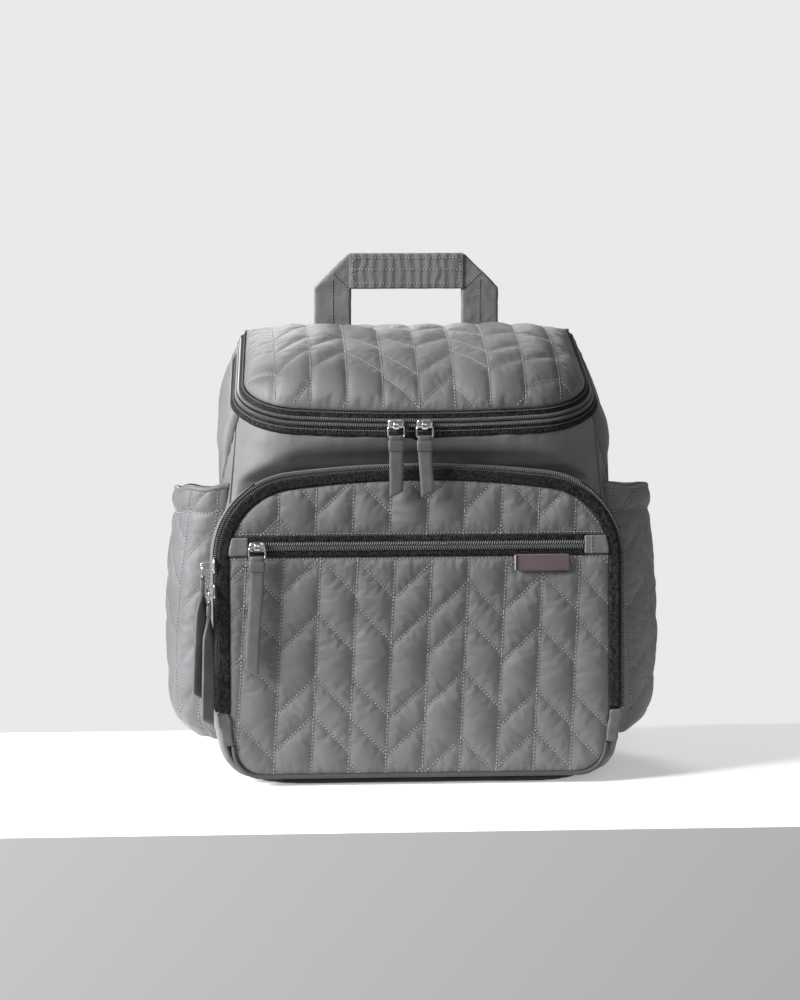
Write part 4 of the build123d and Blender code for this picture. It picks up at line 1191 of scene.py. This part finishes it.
def slider_set(name, at, zip_axes, pull_axes, bar_offset, length, sway, cut=5.0):
    """A slider on its zip, the ring through its bridge, and the leather pull on the ring.

    zip_axes run along and across the zip and out of it; pull_axes along the ring's bar, down and out."""
    along, across, out = zip_axes
    bar_along, down, pull_out = pull_axes
    plate = []
    for height, scale in ((0.2, 0.94), (0.5, 1.0), (1.3, 1.0), (1.8, 0.9), (2.05, 0.6)):
        ring = oval(6.5 * scale, 4.3 * scale, 28, 0.55)
        waist = 1 - 0.12 * np.clip(-ring[:, 0] / 6.5, 0, 1) ** 2
        plate.append(at + ring[:, :1] * along + (ring[:, 1] * waist)[:, None] * across + out * height)
    t = np.linspace(0, math.pi, 17)
    foot, top = 1.2, bar_offset + 1.25
    bridge = (at + np.outer(3.3 * np.sign(np.cos(t)) * np.abs(np.cos(t)) ** 0.6, np.cross(out, bar_along))
              + np.outer(foot + (top - foot) * np.sin(t) ** 0.75, out))
    parts = [loft(plate), sweep(bridge, oval(0.55, 2.3, 12, 0.6), bar_along)]
    piece(f"{name}_slider_metal", joined(parts), f"{name}_slider", "nickel", nodes=(f"{name}_slider",))

    bar = at + out * bar_offset
    corners = [(-RING_HALF, 0), (RING_HALF, 0), (RING_HALF, RING_DROP), (-RING_HALF, RING_DROP)]
    loop = rounded(corners, 2.2, closed=True, step=0.8)[:-1]
    wire = sweep(bar + loop[:, :1] * bar_along + loop[:, 1:] * down, oval(WIRE, WIRE), pull_out, closed=True)
    piece(f"{name}_ring_metal", wire, f"{name}_pull", "nickel", nodes=(f"{name}_ring",))

    def hung(x, n, d):
        """Places points across, out of and down the pull, which sways and turns a little as it hangs."""
        share = smoothstep(RING_DROP + 6, RING_DROP + length, d)
        turn = sway[2] * smoothstep(RING_DROP + 8, RING_DROP + 34, d)
        c, s = np.cos(turn), np.sin(turn)
        px, pn = x * c - n * s + sway[0] * share, x * s + n * c + sway[1] * share
        return bar + px[:, None] * bar_along + pn[:, None] * pull_out + d[:, None] * down

    profile = pull_profile()
    drops = np.concatenate([[-1.75, -1.6, -1.0, 0, 1.4, 3.2], np.linspace(5, length, 34)])
    thick = np.concatenate([[0.25, 0.8, 1.4, 1.75, 1.55, 1.25], np.full(33, 1.2), [0.85]])
    strip = []
    for k, (d, h) in enumerate(zip(drops, thick)):
        slant = (profile[:, 0] + PULL_HALF) / (2 * PULL_HALF) * cut * max(0.0, d / length)
        grow = 0.97 if k in (0, len(drops) - 1) else 1.0
        strip.append(hung(profile[:, 0] * grow, profile[:, 1] * h, RING_DROP + d - slant))
    section = oval(PULL_HALF + 0.8, 1.95, 28, 0.35)
    keeper = [hung(section[:, 0] * scale, section[:, 1] * scale, np.full(28, RING_DROP + d))
              for d, scale in ((2.4, 0.93), (2.7, 1.0), (6.5, 1.0), (10.6, 1.0), (10.9, 0.93))]
    piece(f"{name}_pull_leather", joined([loft(strip), loft(keeper)]), f"{name}_pull", "pull_leather",
          nodes=(f"{name}_pull",))


def pull_profile():
    """The section of a folded strip of leather, one thick, with a notch between its two layers at each edge."""
    edge, notch = PULL_HALF, 0.28
    quarter = [(0, 1.07), (edge * 0.5, 1.05), (edge - 0.5, 1), (edge - 0.05, 0.72), (edge, 0.3)]
    right = quarter + [(edge - notch, 0)] + [(x, -y) for x, y in quarter[::-1]]
    return np.roll(right + [(-x, y) for x, y in right[-2:0:-1]], 2, axis=0)


def sliders():
    bow = RIM_HALF ** 2 / (2 * RIM_CROWN) + RIM_CROWN / 2
    for side, x, sway in (("left", -19.0, (0.0, 3.2, -0.04)), ("right", 4.0, (2.2, 3.4, 0.03))):
        slider_set(f"lid_zip_{side}", rim_point(x, RIM_FRONT + x * x / (2 * bow), 0.0), (RIGHT, RIM_UP, RIM_OUT),
                   (RIGHT, -UP, FRONT), 5.4, 48.0, sway)
    for level, z, offset, sway in (("upper", 118.5, 10.4, (1.0, 3.5, 1.05)),
                                   ("lower", 98.0, 5.4, (6.0, 1.5, 0.95))):
        slider_set(f"flap_zip_{level}", flap_point(-164.6, 2.35, z), (FLAP_UP, FLAP_OUT, -RIGHT),
                   (FLAP_OUT, -FLAP_UP, -RIGHT), offset, 99.0, sway)
    slider_set("pocket_zip", flap_point(-131.0, -1.0, POCKET_ZIP_Z), (RIGHT, FLAP_UP, FLAP_OUT),
               (RIGHT, -FLAP_UP, FLAP_OUT), 5.4, 90.0, (-4.5, 0.6, 0.05), -5.0)


def ladder_locks():
    for name, _ in SIDES:
        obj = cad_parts[f"{name}_ladder_lock"]
        obj.data.materials.clear()
        obj.data.materials.append(MATERIALS["buckle_plastic"])


# ---------------------------------------------------------------- stage, light and camera
def slab():
    front, back, side, low = -0.26, 0.14, 3.0, -0.5
    plan = ((-side, front), (side, front), (side, back), (-side, back))
    corners = [(x, y, z) for z in (0.0, low) for x, y in plan]
    mesh = bpy.data.meshes.new("floor")
    faces = [(0, 1, 2, 3), (4, 5, 1, 0), (5, 6, 2, 1), (6, 7, 3, 2), (7, 4, 0, 3), (7, 6, 5, 4)]
    mesh.from_pydata(corners, [], faces)
    # The slab's sides take a darker copy of the floor's white: painted shade on the faces that turn from the light.
    for name, tone, glow in (("floor", 0.88, 0.3), ("slab_side_shade", 0.62, 0.0)):
        g = Graph(name)
        g.feed(g.shader, {"Base Color": (tone, tone, tone, 1), "Roughness": 0.9, "Emission Color": (1, 1, 1, 1),
                          "Emission Strength": glow})
        mesh.materials.append(g.material)
    for face in mesh.polygons[1:]:
        face.material_index = 1
    placed("floor", mesh)


def studio():
    """A pale room that the camera sees brighter than it lights the bag."""
    world = bpy.data.worlds.new("studio")
    world.use_nodes = True
    nodes, links = world.node_tree.nodes, world.node_tree.links
    background = nodes["Background"]
    background.inputs["Color"].default_value = (1, 1, 1, 1)
    seen = nodes.new("ShaderNodeLightPath")
    strength = nodes.new("ShaderNodeMix")
    strength.inputs["A"].default_value, strength.inputs["B"].default_value = 0.20, 0.82
    links.new(seen.outputs["Is Camera Ray"], strength.inputs["Factor"])
    links.new(strength.outputs["Result"], background.inputs["Strength"])
    bpy.context.scene.world = world
    bpy.context.scene.view_settings.view_transform = "Standard"


def aimed(name, data, place, target):
    obj = placed(name, data)
    obj.location = place
    obj.rotation_euler = (Vector(target) - Vector(place)).to_track_quat("-Z", "Y").to_euler()
    return obj


def lights_and_camera():
    for name, place, size, power in (("key", (-2.75, -0.85, 1.65), 1.4, 300), ("fill", (0.6, -2.6, 1.6), 1.6, 12),
                                     ("back", (-0.6, 2.8, 1.8), 1.6, 45)):
        light = bpy.data.lights.new(name, "AREA")
        light.size, light.energy = size, power
        aimed(name, light, place, (0, 0, 0.2))
    camera = bpy.data.cameras.new("camera")
    camera.lens, camera.sensor_width = 110.0, 36.0
    bpy.context.scene.camera = aimed("camera", camera, (-0.16903, -2.5115, 0.52949), (-0.01669, -0.09006, 0.23159))


for make_pieces in (slab, studio, lights_and_camera, body_panels, front_compartment, lid_hinge, back_cushion,
                    linings, front_quilts, lid_pieces, lid_zip, flap_zip, pocket_zip, label, side_pockets,
                    carry_handle, shoulder_straps, sliders, ladder_locks):
    make_pieces()
